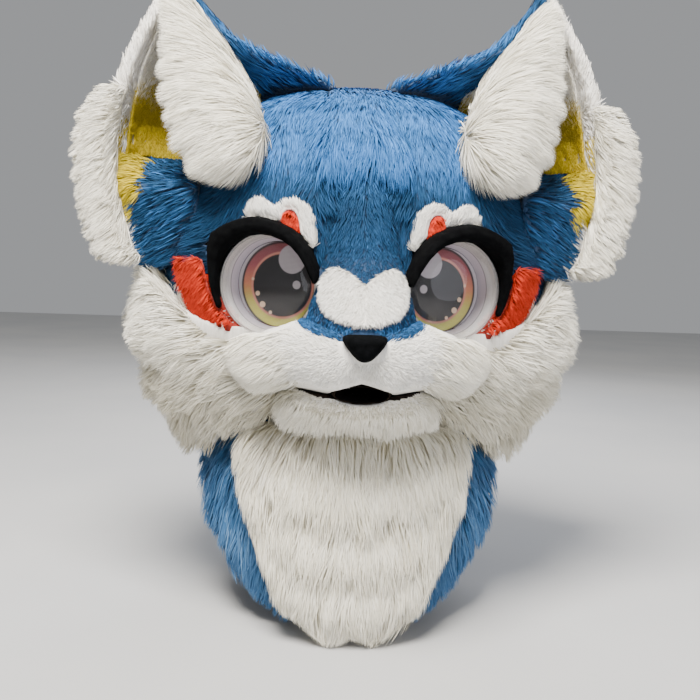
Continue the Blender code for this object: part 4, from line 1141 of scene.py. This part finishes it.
# The outline of the red mark by the eye, which the cheek's fur doesn't cross.
RED_MARK = [(172, -94), (150, -90), (136, -100), (128, -132), (112, -150), (96, -160), (108, -170),
            (134, -166), (150, -154), (163, -136), (172, -116)]


def over_the_mark(points):
    x, y, z = one_side(points)
    return inside(RED_MARK, x, z) & (y < FACE_FRONT)


def cheek_reach(points):
    return 0.25 + 0.75 * smooth(points[:, 2], -282, -215) + 0.1 * smooth(np.abs(points[:, 0]), 120, 190)


def cheek_painted_shade(points):
    """Painted shade: warmer and darker below the jaw, where the cheek shades itself."""
    return -0.38 * smooth(-points[:, 2], 165, 225)


def outer(points, normals):
    """How far each normal points away from the middle of the neck."""
    return (normals * unit(points * [1, 1, 0])).sum(axis=1)


for hand in ("left", "right"):
    fluff_skin = softened(f"cheek_skin_{hand}", f"cheek_fluff_{hand}", WHITE_SKIN,
                          cell=3.6, rounds=10, keep=0.3)
    # The cheek fur's tone holds painted shade below the jaw.
    grow(f"cheek_fur_{hand}", fluff_skin, 11500, lambda p, n: 0.15 + 1.0 * (outer(p, n) > -0.1), cheek_flow,
         CHEEK_COAT, LONG_WHITE, tone=cheek_painted_shade, length=cheek_reach, seed=61, shun=over_the_mark)
    grow(f"cheek_top_fur_{hand}", fluff_skin, 1500,
         lambda p, n: (n[:, 2] > 0.3) * (p[:, 1] < 30) * (np.abs(p[:, 0]) > 140) * 1.0,
         leaning(0.7, -0.25, 0.9), TOP_COAT, LONG_WHITE, seed=64, shun=over_the_mark)
ruff_skin = softened("ruff_skin", "neck_ruff", BLUE_SKIN, cell=4.2, rounds=10, keep=0.3)
paint(ruff_skin, LINING, lambda p: in_the_hollow(p, *RUFF_HOLLOW))
grow("ruff_fur", ruff_skin, 17500, lambda p, n: 1.0 * (outer(p, n) > -0.05), hanging, RUFF_COAT, LONG_BLUE,
     length=reach_floor, seed=62)
bib_skin = softened("bib_skin", "bib", CREAM_SKIN, cell=3.4, rounds=24, keep=0.4)
grow("bib_fur", bib_skin, 16500, lambda p, n: 0.1 + 1.0 * (n[:, 1] < 0.2), hanging, BIB_COAT, LONG_CREAM,
     length=reach_floor, seed=63)


# %% [markdown]
# ## The eyes
#
# Each eye is a clear shallow dome over a white cup, with a printed mesh plate at the cup's bottom.
# Because the plate lies deep, the eye seems to follow the viewer. The forms are turned shapes, so each
# starts as a round primitive with many sides and is then placed by the eye's own axes.


# %% Eye placing
def eye_axes(side):
    """Centre, away from the nose, up and outward of one eye. Side is 1 for the wearer's left, else -1."""
    centre = Vector((EYE_CENTRE[0] * side, EYE_CENTRE[1], EYE_CENTRE[2]))
    across = Vector((math.cos(EYE_TURN) * side, math.sin(EYE_TURN), 0))
    outward = Vector((math.sin(EYE_TURN) * side, -math.cos(EYE_TURN), 0))
    return centre, across, Vector((0, 0, 1)), outward


def place_by_eye(obj, side, name, node, finish):
    """Puts a form made round the origin, in millimetres, in its place at the eye."""
    centre, across, up, outward = eye_axes(side)
    for vertex in obj.data.vertices:
        u, v, w = vertex.co
        vertex.co = (centre + across * u + up * v + outward * w) * MM
    if side < 0:
        obj.data.flip_normals()
    bpy.ops.object.shade_smooth_by_angle(angle=math.radians(40))
    obj.name = name
    obj.data.name = name
    obj.data.materials.append(finish)
    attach(obj, "root")
    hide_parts(node)
    return obj


def fresh(adder, **options):
    """Adds a primitive, without a map, and with nothing else selected."""
    bpy.ops.object.select_all(action="DESELECT")
    adder(calc_uvs=False, **options)
    return bpy.context.object


def apply_wall(obj, thickness, offset):
    wall = obj.modifiers.new("wall", "SOLIDIFY")
    wall.thickness = thickness
    wall.offset = offset
    bpy.ops.object.modifier_apply(modifier="wall")


# %% Eye finishes
def clear_plastic(name):
    """Vacuum-formed clear plastic: no colour of its own, sharp highlights, milky where one looks along it."""
    made, tree, shader = new_finish(name)
    tree.nodes.remove(shader)
    edge = add_node(tree, "ShaderNodeLayerWeight", {"Blend": 0.25})
    fresnel, facing = edge.outputs["Fresnel"], edge.outputs["Facing"]
    mirror = add_node(tree, "ShaderNodeMapRange", {"Value": fresnel, "To Min": 0.012, "To Max": 0.3})
    milk = add_node(tree, "ShaderNodeMapRange", {"Value": facing, "From Min": 0.35, "To Max": 0.5})
    clear = add_node(tree, "ShaderNodeBsdfTransparent", {"Color": (0.98, 0.98, 0.985, 1)})
    white = add_node(tree, "ShaderNodeBsdfDiffuse", {"Color": colour("#e9e6e6")})
    gloss = add_node(tree, "ShaderNodeBsdfGlossy", {"Roughness": 0.03, "Color": (1, 1, 1, 1)})
    body = add_node(tree, "ShaderNodeMixShader", {0: milk, 1: clear, 2: white})
    whole = add_node(tree, "ShaderNodeMixShader", {0: mirror, 1: body, 2: gloss})
    set_inputs(tree.nodes["Material Output"], {"Surface": whole})
    return made


def white_cup(name):
    """White sheet plastic: satin, slightly mottled, with a dark line of painted shade round it where the cup
    steps in.
    """
    made, tree, shader = new_finish(name, {"Roughness": 0.35})
    place = add_node(tree, "ShaderNodeUVMap", uv_map="OFBake")
    depth = add_node(tree, "ShaderNodeSeparateXYZ", {"Vector": place}).outputs["Y"]
    specks = add_node(tree, "ShaderNodeTexNoise", {"Vector": place, "Scale": 24.0, "Detail": 3.0})
    # The dark stop halfway is painted shade of the step in the cup's wall.
    tint = ramp(tree, depth, (0.0, "#c3bbc6"), (0.46, "#d6ced8"), (0.50, "#7c7580"), (0.54, "#dcd8d8"),
                (1.0, "#efebe6"))
    shade = add_node(tree, "ShaderNodeMapRange", {"Value": specks, "To Min": 0.9, "To Max": 1.08})
    mixed = add_node(tree, "ShaderNodeVectorMath", {0: tint, "Scale": shade}, operation="SCALE")
    set_inputs(shader, {"Base Color": mixed})
    return made


# %% Printed iris
def blot(tree, place, centre, radius, soft):
    """1 inside a round spot on the plate, 0 outside, with a soft edge. Sizes in millimetres."""
    shifted = add_node(tree, "ShaderNodeVectorMath", {0: place, 1: (*centre, 0)}, operation="SUBTRACT")
    far = add_node(tree, "ShaderNodeVectorMath", {0: shifted}, operation="LENGTH").outputs["Value"]
    return add_node(tree, "ShaderNodeMapRange", {"Value": far, "From Min": radius - soft,
                                                 "From Max": radius + soft, "To Min": 1.0, "To Max": 0.0})


def over(tree, below, above, share):
    """One colour laid over another by a share."""
    return add_node(tree, "ShaderNodeMix", {0: share, 6: below, 7: above}, data_type="RGBA").outputs[2]


IRIS_CENTRE = (-5, -1)
# Colour, centre, radius and softness of the pupil's rim, the pupil, a glow, two highlights and four dots.
PRINTED_SPOTS = [
    ("#d98f7c", IRIS_CENTRE, 30.5, 0.7), ("#151315", IRIS_CENTRE, 28.5, 0.6), ("#1f1c1e", (-3, -12), 15, 9),
    ("#b3acb0", (-14, 23), 13, 0.5), ("#b9b2b6", (-19, 0), 3.8, 0.4), ("#e6c7a8", (19, -9), 2.2, 0.35),
    ("#e6c7a8", (14, -19), 2.8, 0.35), ("#e6c7a8", (24, 4), 1.4, 0.35), ("#e6c7a8", (6, -26), 1.6, 0.35),
]


def printed_mesh(name):
    """Printed mesh, matt: a dark pupil, a ring that turns from brown to olive, and pale highlights."""
    made, tree, shader = new_finish(name, {"Roughness": 0.6})
    base = add_node(tree, "ShaderNodeUVMap", uv_map="OFBake")
    place = add_node(tree, "ShaderNodeMapping", {"Vector": base, "Location": (-50, -50, 0),
                                                 "Scale": (100, 100, 0)})
    height = add_node(tree, "ShaderNodeSeparateXYZ", {"Vector": place}).outputs["Y"]
    rise = add_node(tree, "ShaderNodeMapRange", {"Value": height, "From Min": -38.0, "From Max": 38.0})
    ring = ramp(tree, rise, (0.0, "#cccb5e"), (0.30, "#c9bd5a"), (0.5, "#d78863"), (0.72, "#a8555a"),
                (1.0, "#7d4348"))
    tint = over(tree, colour("#c8c2c6"), colour("#3c3030"), blot(tree, place, IRIS_CENTRE, 40, 0.5))
    tint = over(tree, tint, ring, blot(tree, place, IRIS_CENTRE, 38, 0.6))
    for code, centre, radius, soft in PRINTED_SPOTS:
        tint = over(tree, tint, colour(code), blot(tree, place, centre, radius, soft))
    holes = add_node(tree, "ShaderNodeTexVoronoi", {"Vector": place, "Scale": 0.9, "Randomness": 0.0})
    dots = add_node(tree, "ShaderNodeMapRange", {"Value": holes, "From Min": 0.25, "From Max": 0.5,
                                                 "To Min": 0.72, "To Max": 1.1})
    mixed = add_node(tree, "ShaderNodeVectorMath", {0: tint, "Scale": dots}, operation="SCALE")
    set_inputs(shader, {"Base Color": mixed})
    return made


CLEAR_DOME = clear_plastic("clear_formed_plastic")
WHITE_CUP = white_cup("white_sheet_plastic")
IRIS_MESH = printed_mesh("printed_polyester_mesh")

# %% Eye forms
EYE_RADIUS, DOME_RISE, DOME_WALL = 46, 18, 1.6
CUP_FRONT, CUP_BACK, CUP_BACK_RADIUS, CUP_WALL = -4, -27, 41, 2
PLATE_RADIUS, PLATE_THICK = 38.4, 1.5


def give_map(obj, place_of):
    """A map of its own, with each corner's place worked out from its point."""
    layer = obj.data.uv_layers.new(name="OFBake")
    for loop in obj.data.loops:
        layer.uv[loop.index].vector = place_of(*obj.data.vertices[loop.vertex_index].co)


def round_the_cup(x, y, z):
    return math.atan2(y, x) / (2 * math.pi) + 0.5, (z - CUP_BACK) / (CUP_FRONT - CUP_BACK)


def on_the_plate(x, y, z):
    return x / 100 + 0.5, y / 100 + 0.5


def dome_form():
    """The upper half of a round ball, flattened to the dome's rise, with an even wall inside."""
    obj = fresh(bpy.ops.mesh.primitive_uv_sphere_add, segments=64, ring_count=24, radius=EYE_RADIUS)
    bpy.ops.object.mode_set(mode="EDIT")
    bpy.ops.mesh.select_all(action="SELECT")
    bpy.ops.mesh.bisect(plane_co=(0, 0, 0.001), plane_no=(0, 0, 1), clear_inner=True)
    bpy.ops.mesh.select_all(action="SELECT")
    bpy.ops.transform.resize(value=(1, 1, DOME_RISE / EYE_RADIUS), center_override=(0, 0, 0))
    bpy.ops.transform.translate(value=(0, 0, CUP_FRONT + 0.3))
    bpy.ops.object.mode_set(mode="OBJECT")
    apply_wall(obj, DOME_WALL, -1)
    return obj


def cup_form():
    """A short tube that narrows to the back, with a wall. Its map runs round it and out to the front."""
    obj = fresh(bpy.ops.mesh.primitive_cone_add, vertices=64, radius1=CUP_BACK_RADIUS, radius2=EYE_RADIUS,
                depth=CUP_FRONT - CUP_BACK, end_fill_type="NOTHING",
                location=(0, 0, (CUP_FRONT + CUP_BACK) / 2))
    bpy.ops.object.transform_apply(location=True)
    bpy.ops.object.mode_set(mode="EDIT")
    bpy.ops.mesh.select_all(action="SELECT")
    bpy.ops.mesh.subdivide(number_cuts=2)
    bpy.ops.object.mode_set(mode="OBJECT")
    apply_wall(obj, CUP_WALL, -1)
    give_map(obj, round_the_cup)
    return obj


def plate_form():
    """A thin round plate. Its map is its own plane, a hundred millimetres across."""
    obj = fresh(bpy.ops.mesh.primitive_cylinder_add, vertices=64, radius=PLATE_RADIUS, depth=PLATE_THICK,
                location=(0, 0, CUP_BACK + PLATE_THICK / 2))
    bpy.ops.object.transform_apply(location=True)
    edge = obj.modifiers.new("edge", "BEVEL")
    edge.width = 0.3
    edge.segments = 2
    bpy.ops.object.modifier_apply(modifier="edge")
    give_map(obj, on_the_plate)
    return obj


for hand, side in (("left", 1), ("right", -1)):
    for form, node, finish in ((dome_form, "eye_dome_", CLEAR_DOME), (cup_form, "eye_bowl_", WHITE_CUP),
                               (plate_form, "eye_print_", IRIS_MESH)):
        made = place_by_eye(form(), side, "smooth_" + node + hand, node + hand, finish)
        print(made.name, len(made.data.polygons), "faces")


# %% [markdown]
# ## Lids, nose and mouth
#
# The lids and the nose are black fleece pulled over foam, and the mouth is dark cloth. Their forms are
# already in the frame, so they are skins of its solids with small cells and have no fur.


# %% Fleece pieces
for hand in ("left", "right"):
    softened(f"lid_skin_{hand}", f"eyelid_{hand}", LID_FLEECE, cell=1.4, rounds=3, keep=0.4)
softened("nose_skin", "nose", NOSE_FLEECE, cell=0.9, rounds=8, keep=0.5)
softened("mouth_skin", "mouth_lining", MOUTH_CLOTH, cell=1.2, rounds=2, keep=0.15)

# %% Sizes and the end
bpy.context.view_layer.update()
print("frame", [[round(v * 1000) for v in corner] for corner in frame_bounds])
total = 0
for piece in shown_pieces():
    if piece.type == "MESH":
        piece.data.calc_loop_triangles()
        total += len(piece.data.loop_triangles)
print("fur triangles:", sum(triangles_made.values()), "of", total, "in all")
